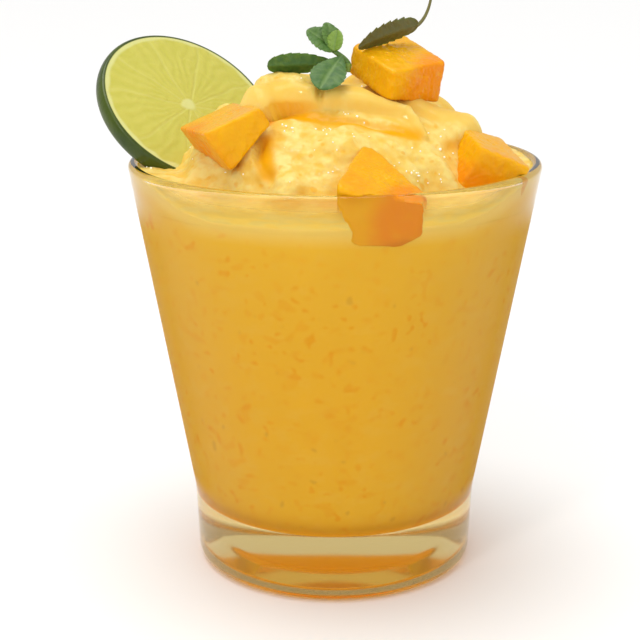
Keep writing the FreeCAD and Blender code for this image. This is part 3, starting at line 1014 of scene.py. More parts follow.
@dataclass
class Crown:
    """Heap of half-frozen smoothie: one skin from the wall over the pool and up the heap.

    Seen from a point under the heap's middle, every direction meets the skin once. Along each
    ray the heap's field is tried outwards, and the last place where it is still inside counts.
    Lump, grain, frost and swell are reliefs: a wavelength and a height in millimetres.
    """

    glass: Tumbler
    level: float
    heap_height: float = 23.4 * MM
    pool: float = 6.2 * MM
    eye_depth: float = 18 * MM
    side: float = 1.0 * MM
    into_wall: float = 0.12 * MM
    climb: float = 0.5 * MM
    climb_width: float = 2.2 * MM
    shore: float = 6.2 * MM
    shore_front: float = -36 * MM
    shore_back: float = -17 * MM
    band_width: float = 4.5 * MM
    columns: int = 480
    pool_rows: int = 30
    heap_rows: int = 170
    warp: float = 0.8 * MM
    warp_length: float = 13 * MM
    crease_sharpness: float = 3.0
    groove_sharpness: float = 2.0
    foot_sharpness: float = 1.3
    search: tuple[float, float] = (52 * MM, 14 * MM)
    search_steps: int = 48
    halvings: int = 7
    lump: tuple[float, float] = (6.5 * MM, 0.26)
    grain: tuple[float, float] = (2.6 * MM, 0.12)
    frost: tuple[float, float] = (1.3 * MM, 0.05)
    swell: tuple[float, float] = (5 * MM, 0.08)
    single_grains: int = 170
    swarms: int = 40
    swarm_radius: float = 1.8 * MM
    smallest_ice: float = 0.10 * MM
    largest_ice: float = 0.26 * MM

    @property
    def foot(self) -> float:
        """Radius of the heap's foot: the cavity less the pool's width."""
        return float(self.glass.cavity(self.level)) - self.pool

    def field(self, points: Array) -> Array:
        """Positive inside the smoothie, roughly in millimetres.

        Dome, rolls and lumps meet in narrow creases, by a sharp soft maximum; the heap then
        runs out into the pool and the bank along the wall by a gentle one.

        Args:
            points: where it is wanted.

        Returns:
            One value per point.
        """
        foot, level = self.foot, self.level
        warped = points + self.warp * np.stack(
            [ripples(points, self.warp_length, seed, 10) for seed in (1, 2, 3)], -1)
        heap_half = self.heap_height / MM
        dome = Fold(0, 0, 0, foot / MM, foot / MM, heap_half)
        parts = [(1 - dome.depth(warped, foot, level)) * heap_half]
        parts += [roll.depth(warped, foot, level) for roll in CROWN_ROLLS]
        parts += [(1 - lump.depth(warped, foot, level)) * min(lump.half_width, lump.half_height)
                  for lump in CROWN_LUMPS]
        heap = soft_maximum(np.stack(parts), self.crease_sharpness)
        groove = deepest(CROWN_GROOVES + CROWN_DENTS, warped, foot, level)
        heap = -soft_maximum(np.stack([-heap, groove]), self.groove_sharpness)
        to_wall = self.glass.cavity(points[..., 2]) - np.hypot(points[..., 0], points[..., 1])
        climb = self.climb * np.exp(-np.maximum(to_wall, 0) / self.climb_width)
        pool = (self.shore_level(points) + climb - points[..., 2]) / MM
        bank = (1 - WALL_BANK.depth(points, foot, level)) * WALL_BANK.half_height
        return soft_maximum(np.stack([heap, pool, bank]), self.foot_sharpness)

    def shore_level(self, points: Array) -> Array:
        """Height of the pool, which climbs from the front towards the sides and the back."""
        return self.level + self.shore * eased(points[..., 1], self.shore_front, self.shore_back)

    def band(self, points: Array) -> Array:
        """Tone of the pale band just under the shore: 0 at its foot and 1 at the shore."""
        above = points[..., 2] - self.shore_level(points)
        return eased(above, -self.band_width, -0.3 * MM)

    def rays(self) -> tuple[Array, Array]:
        """Returns the eye point and the rays' directions, wall first and the top last.

        The first rays aim at the pool, from the wall inwards, and the others rise evenly.

        Returns:
            The eye point, and the grid of the rays' unit directions.
        """
        eye = np.array([0, 0, self.level - self.eye_depth])
        wall = float(self.glass.cavity(self.level))
        start = np.arctan2(self.eye_depth - self.side * np.array([1.0, 0.94, 0.5, 0.0]), wall)
        reach = np.linspace(wall, self.foot * 0.93, self.pool_rows)
        low = np.arctan2(self.eye_depth + self.climb * np.linspace(1, 0, self.pool_rows), reach)
        high = np.linspace(low[-1], math.pi / 2, self.heap_rows + 1)[1:-1]
        rise = np.concatenate([start, low, high])[:, None]
        angle = np.linspace(0, TAU, self.columns, endpoint=False)[None]
        return eye, np.stack([np.cos(rise) * np.cos(angle), np.cos(rise) * np.sin(angle),
                              np.sin(rise) * np.ones_like(angle)], -1)

    def solved(self) -> tuple[Array, Array]:
        """Finds the skin along the rays, from outside in and then by halving.

        Returns:
            The grid of skin points, and 1 where the skin is free and 0 where it meets the wall.
        """
        eye, ways = self.rays()
        tries = np.linspace(*self.search, self.search_steps)
        found = np.full(ways.shape[:2], tries[-1])
        open_still = np.ones(ways.shape[:2], bool)
        for reach in tries:
            inside = self.field(eye + ways[open_still] * reach) > 0
            spots = np.flatnonzero(open_still.ravel())[inside]
            found.ravel()[spots] = reach
            open_still.ravel()[spots] = False
            if not open_still.any():
                break
        low, high = found.copy(), found + tries[0] - tries[1]
        for _ in range(self.halvings):
            middle = (low + high) / 2
            inside = self.field(eye + ways * middle[..., None]) > 0
            low, high = np.where(inside, middle, low), np.where(inside, high, middle)
        wall = self.wall_reach(eye, ways)
        reach = np.minimum((low + high) / 2, wall)
        return eye + ways * reach[..., None], eased(wall - reach, 0.0, 2.0 * MM)

    def wall_reach(self, eye: Array, ways: Array) -> Array:
        """Distance along each ray to just inside the wall, a cone: r = r0 + slope * (z - z0).

        Args:
            eye: where the rays start.
            ways: their directions.

        Returns:
            One distance per ray: 1 m where it passes over the rim.
        """
        base = float(self.glass.cavity(eye[2])) + self.into_wall
        slope = float(self.glass.cavity(1.0) - self.glass.cavity(0.0))
        flat = np.hypot(ways[..., 0], ways[..., 1])
        reach = base / np.maximum(flat - slope * ways[..., 2], 1e-6)
        over_rim = eye[2] + ways[..., 2] * reach > self.glass.height - 0.6 * MM
        return np.where(over_rim, 1.0, reach)

    def build(self) -> bpy.types.Object:
        """Makes the crown with its relief and the tones for its frost, its painted light, and the
        painted shade in its creases.

        Returns:
            The piece.
        """
        rings, free = self.solved()
        normals = grid_normals(rings)
        normals *= np.sign((normals * (rings - rings.mean((0, 1)))).sum(-1).mean())
        rolled = eased(deepest(CROWN_ROLLS, rings, self.foot, self.level), -1.2, -0.3)
        groove = eased(deepest(CROWN_GROOVES, rings, self.foot, self.level), -2.2, 0.2)
        # Painted shade in the hollow beside the left chunk.
        painted_hollow_shade = eased(deepest(CROWN_HOLLOW_SHADES, rings, self.foot, self.level), -1.2, 0.3)
        above_pool = eased(rings[..., 2], self.level + 1 * MM, self.level + 6 * MM)
        icy = free * above_pool * (1 - 0.9 * rolled) * (1 - 0.8 * groove)
        # The pool's flat top takes the pale band colour: painted light.
        pool = 0.9 * free * (1 - above_pool)
        hollow = self.hollowness(rings, normals)
        reliefs = (self.lump, self.grain, self.frost, self.swell)
        lumps, grains, frost, swell = (ripples(rings, length, seed)
                                       for seed, (length, _) in enumerate(reliefs, 11))
        relief = (self.lump[1] * lumps + self.grain[1] * grains
                  + self.frost[1] * frost) * MM * icy
        relief += self.swell[1] * MM * swell * free
        rings = rings + normals * relief[..., None]
        # Painted shade: hollows and grooves get the deeper orange.
        painted_crease_shade = np.maximum(0.8 * eased(hollow, 0.35, 1.6), groove)
        # Paler on icy slopes as frost; paler on bulges, relief peaks and the pool's top as painted
        # light.
        frost_and_painted_light = 1.0 - 0.8 * above_pool + above_pool * (
            0.6 * icy + 0.35 * eased(-hollow, 0.0, 0.8))
        frost_and_painted_light = frost_and_painted_light + 0.25 * icy * (lumps + grains)
        tucked = rings[:1] * (0.98, 0.98, 1) - (0, 0, 0.3 * MM)
        rings = np.concatenate([tucked, rings])
        painted_crease_shade, frost_and_painted_light, painted_hollow_shade, icy, free, pool = (
            np.concatenate([tone[:1], tone]) for tone in (painted_crease_shade, frost_and_painted_light, painted_hollow_shade, icy, free, pool))
        top = rings[-1].mean(0)
        under = np.array([0, 0, self.level - 2 * MM])
        skin = belted(rings, under, top, {
            "painted_crease_shade": (spread(painted_crease_shade, 2), 0, 0), "frost_and_painted_light": (np.clip(frost_and_painted_light, 0, 1), 0, 0.5),
            "painted_hollow_shade": (0.8 * painted_hollow_shade, 0, 0), "icy": (icy, 0, 0), "walled": (1 - free, 1, 0),
            "band": (np.maximum((1 - free) * self.band(rings), pool), 0, 0)})
        self.sparkles(rings[1:], normals, icy[1:])
        return skin.to_piece("smoothie_crown", CrownFinish().build(), "smoothie_crown",
                             ("crown",))

    def sparkles(self, rings: Array, normals: Array, icy: Array) -> bpy.types.Object:
        """Scatters ice grains, singly and in small swarms, half sunk in the icy slopes, as painted
        glints.

        Args:
            rings: the crown's grid of points.
            normals: its normals.
            icy: how icy each point is, 0 to 1.

        Returns:
            The piece.
        """
        rng = np.random.default_rng(71)
        spots = np.flatnonzero(icy.ravel() > 0.7)
        hearts = rng.choice(spots, self.swarms)
        near = rings.reshape(-1, 3)
        chosen = list(rng.choice(spots, self.single_grains))
        for heart in hearts:
            gap = np.linalg.norm(near[spots] - near[heart], axis=1)
            close = spots[gap < self.swarm_radius]
            chosen += list(rng.choice(close, rng.integers(2, 6)))
        directions, faces = ball_grid(3)
        grains = []
        for spot in chosen:
            size = rng.uniform(self.smallest_ice, self.largest_ice)
            stretch = rng.uniform(0.7, 1.5, 3)
            grains.append(Skin(near[spot] + directions * size * stretch
                               + normals.reshape(-1, 3)[spot] * 0.05 * MM, faces))
        return joined(grains).outward().to_piece("ice_sparkles", SparkleFinish().build(),
                                                 "smoothie_crown")

    def hollowness(self, rings: Array, normals: Array) -> Array:
        """How far each point lies under the mean of its surroundings, in millimetres.

        Args:
            rings: the crown's grid of points.
            normals: its normals.

        Returns:
            One depth per grid point, below 0 on a bulge.
        """
        near = np.stack([spread(rings[..., axis], 3) for axis in range(3)], -1)
        wide = np.stack([spread(near[..., axis], 60) for axis in range(3)], -1)
        return ((wide - near) * normals).sum(-1) / MM


@dataclass
class WallFilm:
    """Smear on the inside of the glass between the shore and the rim: a thin closed belt."""

    glass: Tumbler
    crown: Crown
    outside: float = 0.08 * MM
    inside: float = 0.12 * MM
    under: float = 0.6 * MM
    rim_gap: float = 1.6 * MM
    fade: float = 6.5 * MM
    rows: int = 24
    turns: int = 256

    def build(self) -> bpy.types.Object:
        """Makes the belt: up the glass's side and down the free side.

        Returns:
            The piece.
        """
        angle = np.linspace(0, TAU, self.turns, endpoint=False)[None]
        up = np.linspace(self.crown.level - self.under, self.glass.height - self.rim_gap,
                         self.rows)[:, None]
        level = np.concatenate([up, up[::-1]])
        side = np.repeat([self.outside, -self.inside], self.rows)[:, None]
        radius = self.glass.cavity(level) + side
        rings = np.stack([radius * np.cos(angle), radius * np.sin(angle),
                          level * np.ones_like(angle)], -1)
        above = rings[..., 2] - self.crown.shore_level(rings)
        veil = 1 - eased(above, 0.2 * MM, self.fade)
        return looped(rings, {"veil": veil}).to_piece(
            "smoothie_film", FilmFinish().build(), "smoothie_drink")


def soft_maximum(values: Array, sharpness: float) -> Array:
    """Log of the sum of exponentials, divided by the sharpness, over the first axis."""
    highest = values.max(0)
    return highest + np.log(np.exp((values - highest) * sharpness).sum(0)) / sharpness


# ---------------------------------------------------------------- fruit


def ball_grid(count: int) -> tuple[Array, list]:
    """Directions of a cube's six squared faces blown up to a ball, with shared edges merged.

    Args:
        count: squares along each edge of the cube.

    Returns:
        The unit directions and the square faces.
    """
    side = np.tan(np.linspace(-1, 1, count + 1) * math.pi / 4)
    a, b = np.meshgrid(side, side, indexing="ij")
    one = np.ones_like(a)
    sheets = [np.stack(parts, -1) for parts in (
        (one, a, b), (-one, b, a), (b, one, a), (a, -one, b), (a, b, one), (b, a, -one))]
    points = np.concatenate([sheet.reshape(-1, 3) for sheet in sheets])
    row, column = np.meshgrid(np.arange(count), np.arange(count), indexing="ij")
    corner = row * (count + 1) + column
    square = np.stack([corner, corner + count + 1, corner + count + 2, corner + 1],
                      -1).reshape(-1, 4)
    quads = np.concatenate([square + number * (count + 1) ** 2 for number in range(6)])
    _, first, number = np.unique(np.round(points, 6), axis=0, return_index=True,
                                 return_inverse=True)
    return unit(points[first]), number.ravel()[quads].tolist()


@dataclass
class MangoChunk:
    """A knife-cut chunk with soft edges, worked out from the flat faces of its CAD node.

    In a direction d from the middle, the skin lies at (sum of (n.d / h) ** p) ** (-1 / p) over
    the cut faces, n being a face's normal and h its distance: a large p keeps edges crisp.
    """

    node: str
    glass: Tumbler
    seed: int
    crispness: float = 16.0
    push: float = 0.0
    shaded_way: Place = (0.0, 0.0, -1.0)
    squares: int = 84
    smallest_face: float = 8e-6
    into_wall: float = 0.25 * MM
    wall_band: float = 0.5 * MM

    def cuts(self) -> tuple[Array, Array, Array]:
        """Finds the node's flat faces: triangles with one normal and distance, of enough area.

        Returns:
            The chunk's middle, the faces' normals and their distances from the middle.
        """
        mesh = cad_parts[self.node].data
        points = np.empty(len(mesh.vertices) * 3)
        mesh.vertices.foreach_get("co", points)
        points = points.reshape(-1, 3)
        mesh.calc_loop_triangles()
        corners = np.empty(len(mesh.loop_triangles) * 3, int)
        mesh.loop_triangles.foreach_get("vertices", corners)
        triangles = points[corners.reshape(-1, 3)]
        cross = np.cross(triangles[:, 1] - triangles[:, 0], triangles[:, 2] - triangles[:, 0])
        area = np.linalg.norm(cross, axis=1) / 2
        normals = unit(cross)
        middle = (points.min(0) + points.max(0)) / 2
        distance = ((triangles[:, 0] - middle) * normals).sum(1)
        keys = np.round(np.column_stack([normals * 60, distance / (0.15 * MM)])).astype(int)
        _, group = np.unique(keys, axis=0, return_inverse=True)
        total = np.bincount(group.ravel(), area)
        chosen = np.flatnonzero(total > self.smallest_face)
        member = [group.ravel() == number for number in chosen]
        member = [m for m in member if not self.on_wall(triangles[m].reshape(-1, 3).mean(0))]
        ways = unit(np.array([(normals[m] * area[m, None]).sum(0) for m in member]))
        reach = np.array([np.average(distance[m], weights=area[m]) for m in member])
        return middle, ways, reach

    def on_wall(self, point: Array) -> bool:
        """Tells whether a point lies on the glass's inner wall."""
        return math.hypot(point[0], point[1]) > self.glass.cavity(point[2]) - self.wall_band

    def build(self, finish: bpy.types.Material) -> bpy.types.Object:
        """Makes the chunk, with faces a little wavy and edges a little worn.

        Args:
            finish: the flesh's material, which all chunks share.

        Returns:
            The piece.
        """
        middle, ways, reach = self.cuts()
        log.info("%s has %d cut faces", self.node, len(ways))
        directions, faces = ball_grid(self.squares)
        waves = 1 + 0.02 * ripples(directions, 0.9, self.seed)
        lean = np.maximum(directions @ ways.T / reach, 1e-9)
        strongest = lean.max(1, keepdims=True)
        total = ((lean / strongest) ** self.crispness).sum(1)
        distance = total ** (-1 / self.crispness) / strongest[:, 0] * waves
        radial = middle * (1, 1, 0) / math.hypot(middle[0], middle[1])
        points = middle + directions * distance[:, None] + radial * self.push
        points += directions * (0.10 * MM * ripples(points, 2.4 * MM, self.seed + 1)
                                + 0.05 * MM * ripples(points, 0.9 * MM, self.seed + 2))[:, None]
        points = self.kept_in(points)
        # Painted shade on the faces that point the shaded way.
        ripe_and_shade = 0.9 * eased(directions @ unit(np.array(self.shaded_way)), 0.35, 0.8)
        return Skin(points, faces, {"ripe_and_shade": ripe_and_shade}).outward().to_piece(
            self.node.replace("mango_", "") + "_flesh", finish, "mango", (self.node,))

    def kept_in(self, points: Array) -> Array:
        """Presses points that would enter the wall flat against it.

        Args:
            points: points of the chunk's skin.

        Returns:
            The points, none deeper in the wall than the chunk may go.
        """
        radius = np.hypot(points[:, 0], points[:, 1])
        limit = self.glass.cavity(points[:, 2]) + self.into_wall
        scale = np.where((radius > limit) & (points[:, 2] < self.glass.height),
                         limit / np.maximum(radius, 1e-9), 1.0)
        return points * np.column_stack([scale, scale, np.ones_like(scale)])


@dataclass
class LimeWheel:
    """Slice of lime: two cut faces with juice sacs, and a bulging rind."""

    radius: float = 22.4 * MM
    thickness: float = 4.0 * MM
    bulge: float = 0.8 * MM
    rind_width: float = 0.5 * MM
    pith_width: float = 0.8 * MM
    segments: int = 10
    sac_count: int = 34
    turn: float = -48.2
    lean: float = 44.1
    turns: int = 480
    face_rows: int = 90
    rind_rows: int = 22

    def frame_of_node(self) -> tuple[Array, Array]:
        """Returns the wheel's middle, from the node's box, and its rotation."""
        low, high = (np.array(corner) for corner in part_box("lime_wheel"))
        return (low + high) / 2, turned(self.turn, self.lean, 0)

    def build(self) -> bpy.types.Object:
        """Makes the wheel: front face from the middle out, over the rind, and back inwards.

        A face's point at radius r and angle a is (r cos a, r sin a, half the thickness plus
        relief); the rind's radius is the edge plus the bulge times the cosine across it.

        Returns:
            The piece.
        """
        middle, rotation = self.frame_of_node()
        edge = self.radius - self.bulge
        angle = np.linspace(0, TAU, self.turns, endpoint=False)[None]
        outwards = np.linspace(0, 1, self.face_rows + 1)[1:, None] * edge
        front, front_tones = self.face(outwards, angle, 1, 21)
        back, back_tones = self.face(outwards[::-1], angle, -1, 33)
        across = np.linspace(1, -1, self.rind_rows + 2)[1:-1, None]
        rind_radius = edge + self.bulge * np.sqrt(1 - across ** 2) * np.ones_like(angle)
        rind = np.stack([rind_radius * np.cos(angle), rind_radius * np.sin(angle),
                         across * self.thickness / 2 * np.ones_like(angle)], -1)
        plain = np.zeros((self.rind_rows, self.turns))
        tones = {name: (np.concatenate([front_tones[name], plain + (name == "rind"),
                                        back_tones[name]]),
                        1.0 if name == "pith" else 0.0, 1.0 if name == "pith" else 0.0)
                 for name in front_tones}
        rings = np.concatenate([front, rind, back]) @ rotation.T + middle
        poles = [np.array([0, 0, side * self.thickness / 2]) @ rotation.T + middle
                 for side in (1, -1)]
        return belted(rings, poles[0], poles[1], tones).to_piece(
            "lime_slice", LimeFinish().build(), "lime", ("lime_wheel",))

    def face(self, radius: Array, angle: Array, side: int, seed: int) -> tuple[Array, dict]:
        """Points and tones of one cut face.

        Args:
            radius: column of radii.
            angle: row of angles.
            side: 1 for the front face, -1 for the back.
            seed: for the uneven segments.

        Returns:
            The grid of points and the tones on it.
        """
        rng = np.random.default_rng(seed)
        edge = self.radius - self.bulge
        share = radius / edge * np.ones_like(angle)
        flat = np.stack([radius * np.cos(angle), radius * np.sin(angle),
                         0 * radius * angle], -1)
        borders = (np.arange(self.segments) + rng.uniform(-0.14, 0.14, self.segments)) \
            * TAU / self.segments
        wavy = angle + 0.05 * ripples(flat, 9 * MM, seed) * share
        gap = np.abs((wavy[..., None] - borders + math.pi) % TAU - math.pi).min(-1)
        from_border = gap * radius
        zest = eased(share, 1 - self.rind_width / edge, 1 - 0.55 * self.rind_width / edge)
        pith_start = 1 - (self.rind_width + self.pith_width) / edge
        wobble = 0.012 * ripples(flat, 5 * MM, seed + 1)
        pith = eased(share + wobble, pith_start - 0.012, pith_start + 0.02)
        core = 1 - eased(share + 3 * wobble, 0.05, 0.10)
        pith = np.maximum(pith, core)
        membrane = 1 - eased(from_border, 0.12 * MM, 0.42 * MM + 0.2 * MM * share)
        sacs = self.sacs(flat, share, wavy, seed)
        inside = (1 - pith) * (1 - zest)
        relief = inside * (0.10 * sacs - 0.06 * membrane - 0.08) * MM
        flat[..., 2] = side * (self.thickness / 2 + relief)
        return flat, {"sac": sacs, "membrane": membrane * inside * 0.4, "pith": pith * 0.95,
                      "rind": zest}

    def sacs(self, flat: Array, share: Array, angle: Array, seed: int) -> Array:
        """Juice sacs: long cells that point at the middle, from two crossed waves.

        Args:
            flat: points of the face.
            share: their distance from the middle, over the edge's.
            angle: their angle, made a little wavy.
            seed: for the unevenness.

        Returns:
            The tone of the sacs, about 0 to 1.
        """
        drift = 1.6 * ripples(flat, 7 * MM, seed + 2)
        across = np.sin(angle * self.sac_count + drift)
        along = np.sin(share * 13 + 2.6 * ripples(flat, 4 * MM, seed + 3))
        return 0.5 + 0.3 * across * eased(share, 0.1, 0.5) + 0.2 * along


# ---------------------------------------------------------------- herbs


@dataclass(frozen=True)
class Leaf:
    """One leaf, from its base: a thin lens with a serrated edge, folded along its midrib."""

    length: float
    width: float
    base: Place
    heading: float
    droop: float
    roll: float
    curl: float = 0.25
    fold: float = 0.35
    teeth: float = 9
    tooth: float = 0.07
    young: float = 0.0
    blunt: float = 0.8
    widest: float = 0.44
    thickness: float = 0.32
    rows: int = 110
    around: int = 36

    def skin(self) -> Skin:
        """Works out the leaf.

        At a share u of its length the half width is w sin(pi u ** p) ** blunt, where p puts the
        peak at the widest share, with a saw of teeth on it. A point at angle t round the section
        lies w cos t across and half the thickness times sin t up. The blade rises with its
        distance from the midrib (fold) and sinks with u squared (curl). Side veins are ridges
        that slant forwards.

        Returns:
            The leaf's closed surface.
        """
        share = np.linspace(0.01, 0.985, self.rows)[:, None]
        turn = np.linspace(0, TAU, self.around, endpoint=False)[None]
        saw = (share * self.teeth) % 1.0
        edge = 1 - self.tooth * saw * eased(share, 0.06, 0.2)
        power = math.log(0.5) / math.log(self.widest)
        half = self.width * MM / 2 * np.sin(math.pi * share ** power) ** self.blunt * edge
        across = half * np.cos(turn)
        level = np.abs(np.cos(turn)) * np.ones_like(share)
        lift = self.fold * np.abs(across) * (1 - 0.25 * level)
        sink = -self.curl * self.length * MM * share ** 2
        vein = np.exp(-(np.abs(across) / (0.22 * MM)) ** 2)
        slant = (share * self.teeth * 0.75 - level * 0.9) % 1.0
        side_vein = np.exp(-((slant - 0.5) / 0.13) ** 2) * level * (1 - level ** 6)
        up = np.sign(np.sin(turn))
        body = self.thickness * MM / 2 * np.sin(turn) * (1.1 - level ** 4)
        puff = 0.16 * MM * (1 - side_vein) * (1 - vein) * (1 - level ** 4)
        rings = np.stack([share * self.length * MM * np.ones_like(across),
                          across, lift + sink + body + puff], -1)
        rings[..., 2] += 0.05 * MM * ripples(rings, 2.2 * MM, int(self.heading) % 97)
        place = np.array(self.base)
        rotation = turned(self.heading, self.droop, self.roll)
        tip = np.array([self.length * MM, 0, -self.curl * self.length * MM])
        seen = np.maximum(vein, 0.6 * side_vein) * (0.6 + 0.4 * up)
        return belted(rings @ rotation.T + place, place, tip @ rotation.T + place, {
            "vein": (seen, 1, 0), "young": (self.young * np.ones_like(seen), self.young,
                                            self.young)})


def stalk(path: Array, radii: Array, young: float, sides: int = 14) -> Skin:
    """Round stalk along a path of points: circles square to the path's direction.

    Args:
        path: points of its middle line.
        radii: its radius at each of them.
        young: how young it looks, 0 to 1.
        sides: columns round it.

    Returns:
        The closed surface.
    """
    way = unit(np.gradient(path, axis=0))
    aside = unit(np.cross(way, np.array([0.2, 1.0, 0.1])))
    over = np.cross(way, aside)
    turn = np.linspace(0, TAU, sides, endpoint=False)[None, :, None]
    rings = path[:, None] + radii[:, None, None] * (np.cos(turn) * aside[:, None]
                                                    + np.sin(turn) * over[:, None])
    one = np.ones(rings.shape[:2])
    return belted(rings, path[0], path[-1], {"vein": (0.3 * one, 0.3, 0.3),
                                             "young": (young * one, young, young)})


def curve(points: list[Place], steps: int) -> Array:
    """Bezier curve of any number of control points: the sum of Bernstein weights times them.

    Args:
        points: the control points, of any number of coordinates.
        steps: how many points are wanted.

    Returns:
        The points along the curve.
    """
    controls = np.array(points)
    last = len(controls) - 1
    share = np.linspace(0, 1, steps)[:, None]
    weights = [math.comb(last, number) * share ** number * (1 - share) ** (last - number)
               for number in range(last + 1)]
    return sum(weight * control for weight, control in zip(weights, controls))


@dataclass
class MintSprig:
    """Sprig on the crown: long side leaves, a drooping front leaf and a tuft of young ones."""

    joint: Array

    def at(self, side: float, front: float, rise: float) -> Place:
        """Returns a point given from the joint, in millimetres."""
        return tuple(self.joint + np.array([side, front, rise]) * MM)

    def build(self) -> bpy.types.Object:
        """Makes all leaves and the stem as one piece.

        Returns:
            The piece.
        """
        leaves = [
            Leaf(14.6, 5.6, self.at(-1.4, 0.2, -1.7), 182, 1, 64, curl=0.03, fold=0.3, teeth=8,
                 blunt=0.36, widest=0.6),
            Leaf(12.8, 8.0, self.at(0.6, -0.3, 0.2), -114, 24, -18, curl=0.1, fold=0.2,
                 blunt=0.55, widest=0.66),
            Leaf(7.8, 6.4, self.at(-1.0, 0.2, 1.2), 168, -38, -42, curl=0.1, young=0.1,
                 teeth=7, tooth=0.12, blunt=0.55),
            Leaf(6.8, 5.4, self.at(-1.6, 0.4, 1.4), 100, -66, 20, young=0.2, teeth=7,
                 tooth=0.12, blunt=0.55),
            Leaf(4.7, 4.4, self.at(-1.1, -0.8, 1.2), 60, -78, 0, curl=0.1, young=0.95, teeth=6,
                 blunt=0.5),
            Leaf(3.4, 2.6, self.at(0.9, -0.2, -1.9), -150, 40, -20, curl=0.2, teeth=5),
        ]
        stem = curve([self.at(-1.9, 0.2, 1.5), self.at(0.0, 0.0, 0.3), self.at(1.9, -0.2, -1.0),
                      self.at(1.9, -0.3, -2.2)], 26)
        cut_end = curve([self.at(1.9, -0.3, -1.6), self.at(1.7, -0.6, -3.4)], 8)
        skins = [leaf.skin() for leaf in leaves]
        skins.append(stalk(stem, np.linspace(0.5, 0.75, 26) * MM, 0.15))
        skins.append(stalk(cut_end, np.linspace(0.8, 0.65, 8) * MM, 1.0))
        return joined(skins).to_piece("mint_leaves", LeafFinish(LeafKind.MINT).build(), "mint",
                                      ("mint_sprig",))


@dataclass
class HerbLeaf:
    """Single narrow leaf whose bare stalk curls up and away."""

    base: Array

    def build(self) -> bpy.types.Object:
        """Makes the blade and its stalk.

        Returns:
            The piece.
        """
        blade = Leaf(16.0, 6.6, tuple(self.base), -158, 10.5, 58, curl=0.16, fold=0.3, teeth=9,
                     tooth=0.16, blunt=0.5, widest=0.42)
        way = [(-0.4, 0, 0.0), (1.0, 0.4, 0.9), (2.2, 0.8, 2.9), (2.7, 1.0, 6.2)]
        path = curve([tuple(self.base + np.array(step) * MM) for step in way], 26)
        skins = [blade.skin(), stalk(path, np.linspace(0.42, 0.3, 26) * MM, 0.3)]
        return joined(skins).to_piece("herb_blade", LeafFinish(LeafKind.HERB).build(), "herb",
                                      ("herb_leaf",))


# ---------------------------------------------------------------- studio


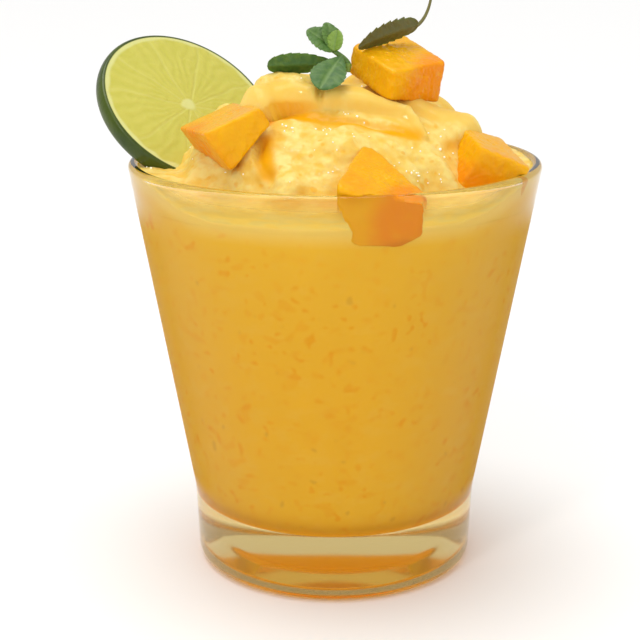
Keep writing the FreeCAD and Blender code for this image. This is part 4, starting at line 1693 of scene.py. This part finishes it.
@dataclass
class Studio:
    """Table, soft lights and the camera."""

    table_half: float = 6.0
    camera_place: Place = (0.0, -0.34462, 0.15454)
    camera_turn: float = -0.5688
    camera_pitch: float = 15.7186
    focal_length: float = 84.945
    sky: float = 0.62

    def table(self) -> None:
        """Lays the table at the foot of the glass."""
        half = self.table_half
        mesh = bpy.data.meshes.new("table_top")
        mesh.from_pydata([(-half, -half, 0), (half, -half, 0), (half, half, 0),
                          (-half, half, 0)], [], [(0, 1, 2, 3)])
        mesh.materials.append(TableFinish().build())
        top = bpy.data.objects.new("table_top", mesh)
        bpy.context.scene.collection.objects.link(top)

    def lamp(self, name: str, place: Place, size: float,
             power: float) -> None:
        """Hangs a square soft light that faces the glass.

        Args:
            name: the light's name.
            place: where it hangs.
            size: length of its side, in metres.
            power: its power, in watts.
        """
        light = bpy.data.lights.new(name, "AREA")
        light.size = size
        light.energy = power
        self.hang(name, light, place)

    def overhead(self, name: str, place: Place, angle: float,
                 strength: float) -> None:
        """Adds even light from above; its wide angle, in degrees, keeps shadows soft.

        Args:
            name: the light's name.
            place: the side that it comes from.
            angle: how wide it looks from the glass.
            strength: its strength on a face square to it.
        """
        light = bpy.data.lights.new(name, "SUN")
        light.angle = math.radians(angle)
        light.energy = strength
        self.hang(name, light, place)

    def hang(self, name: str, light: bpy.types.Light,
             place: Place) -> None:
        """Puts a light in its place, aimed at the glass.

        Args:
            name: the object's name.
            light: the light to hang.
            place: where it hangs.
        """
        lamp = bpy.data.objects.new(name, light)
        bpy.context.scene.collection.objects.link(lamp)
        lamp.location = place
        aim = Vector((0, 0, 0.07)) - Vector(place)
        lamp.rotation_euler = aim.to_track_quat("-Z", "Y").to_euler()

    def camera(self) -> None:
        """Sets the camera at the viewer's place."""
        turn, pitch = math.radians(self.camera_turn), math.radians(self.camera_pitch)
        aim = Vector((math.sin(turn) * math.cos(pitch), math.cos(turn) * math.cos(pitch),
                      -math.sin(pitch)))
        lens = bpy.data.cameras.new("viewer")
        lens.sensor_width = 36
        lens.lens = self.focal_length
        lens.clip_start = 0.01
        viewer = bpy.data.objects.new("viewer", lens)
        bpy.context.scene.collection.objects.link(viewer)
        viewer.location = self.camera_place
        viewer.rotation_euler = aim.to_track_quat("-Z", "Y").to_euler()
        bpy.context.scene.camera = viewer

    def build(self) -> None:
        """Sets everything up."""
        self.table()
        self.lamp("key_light", (-0.45, -1.1, 0.6), 0.9, 3.0)
        self.lamp("fill_light", (0.8, -0.9, 0.5), 0.9, 1.8)
        self.lamp("glint_light", (-0.3, -0.55, 0.75), 0.08, 0.8)
        self.overhead("top_light", (-0.15, 0.1, 1.5), 40, 1.5)
        world = bpy.data.worlds.new("studio")
        world.use_nodes = True
        background = world.node_tree.nodes["Background"]
        background.inputs["Color"].default_value = (1.0, 1.0, 1.0, 1.0)
        background.inputs["Strength"].default_value = self.sky
        scene = bpy.context.scene
        scene.world = world
        scene.view_settings.view_transform = "Standard"
        self.camera()


# Each chunk's name, seed, push towards the wall, and the way its side with painted shade faces.
CHUNKS = (
    ("top", 40, 0.0, (0.8, -0.3, -0.5)),
    ("left", 50, 0.0, (-0.9, -0.3, -0.4)),
    ("front", 60, 2.4 * MM, (0.7, -0.6, -0.3)),
    ("right", 70, 0.0, (-0.5, -0.6, -0.6)),
)
# Right, back and up from the middle of the drink's surface, in millimetres.
MINT_JOINT = (1.0, -9.0, 31.4)
HERB_BASE = (18.6, -3.2, 37.6)


def over_drink(place: Place, level: float) -> Array:
    """Returns a point given in millimetres from the middle of the drink's surface."""
    return np.array([0, 0, level]) + np.array(place) * MM


def corners(box: tuple) -> list[list[float]]:
    """Returns a box as plain lists of numbers."""
    return [[float(part) for part in corner] for corner in box]


def main() -> None:
    """Builds the drink, its garnish and the studio."""
    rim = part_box("tumbler")[1]
    glass = Tumbler(height=float(rim[2]), rim_radius=47.5 * MM)
    glass.build()
    level = float(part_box("smoothie")[1][2])
    crown = Crown(glass, level)
    Drink(glass, crown).build()
    crown.build()
    WallFilm(glass, crown).build()
    flesh = MangoFinish().build()
    for name, seed, push, shaded_way in CHUNKS:
        MangoChunk(f"mango_chunk_{name}", glass, seed, push=push, shaded_way=shaded_way).build(flesh)
    LimeWheel().build()
    MintSprig(over_drink(MINT_JOINT, level)).build()
    HerbLeaf(over_drink(HERB_BASE, level)).build()
    Studio().build()


if __name__ == "__main__":
    main()
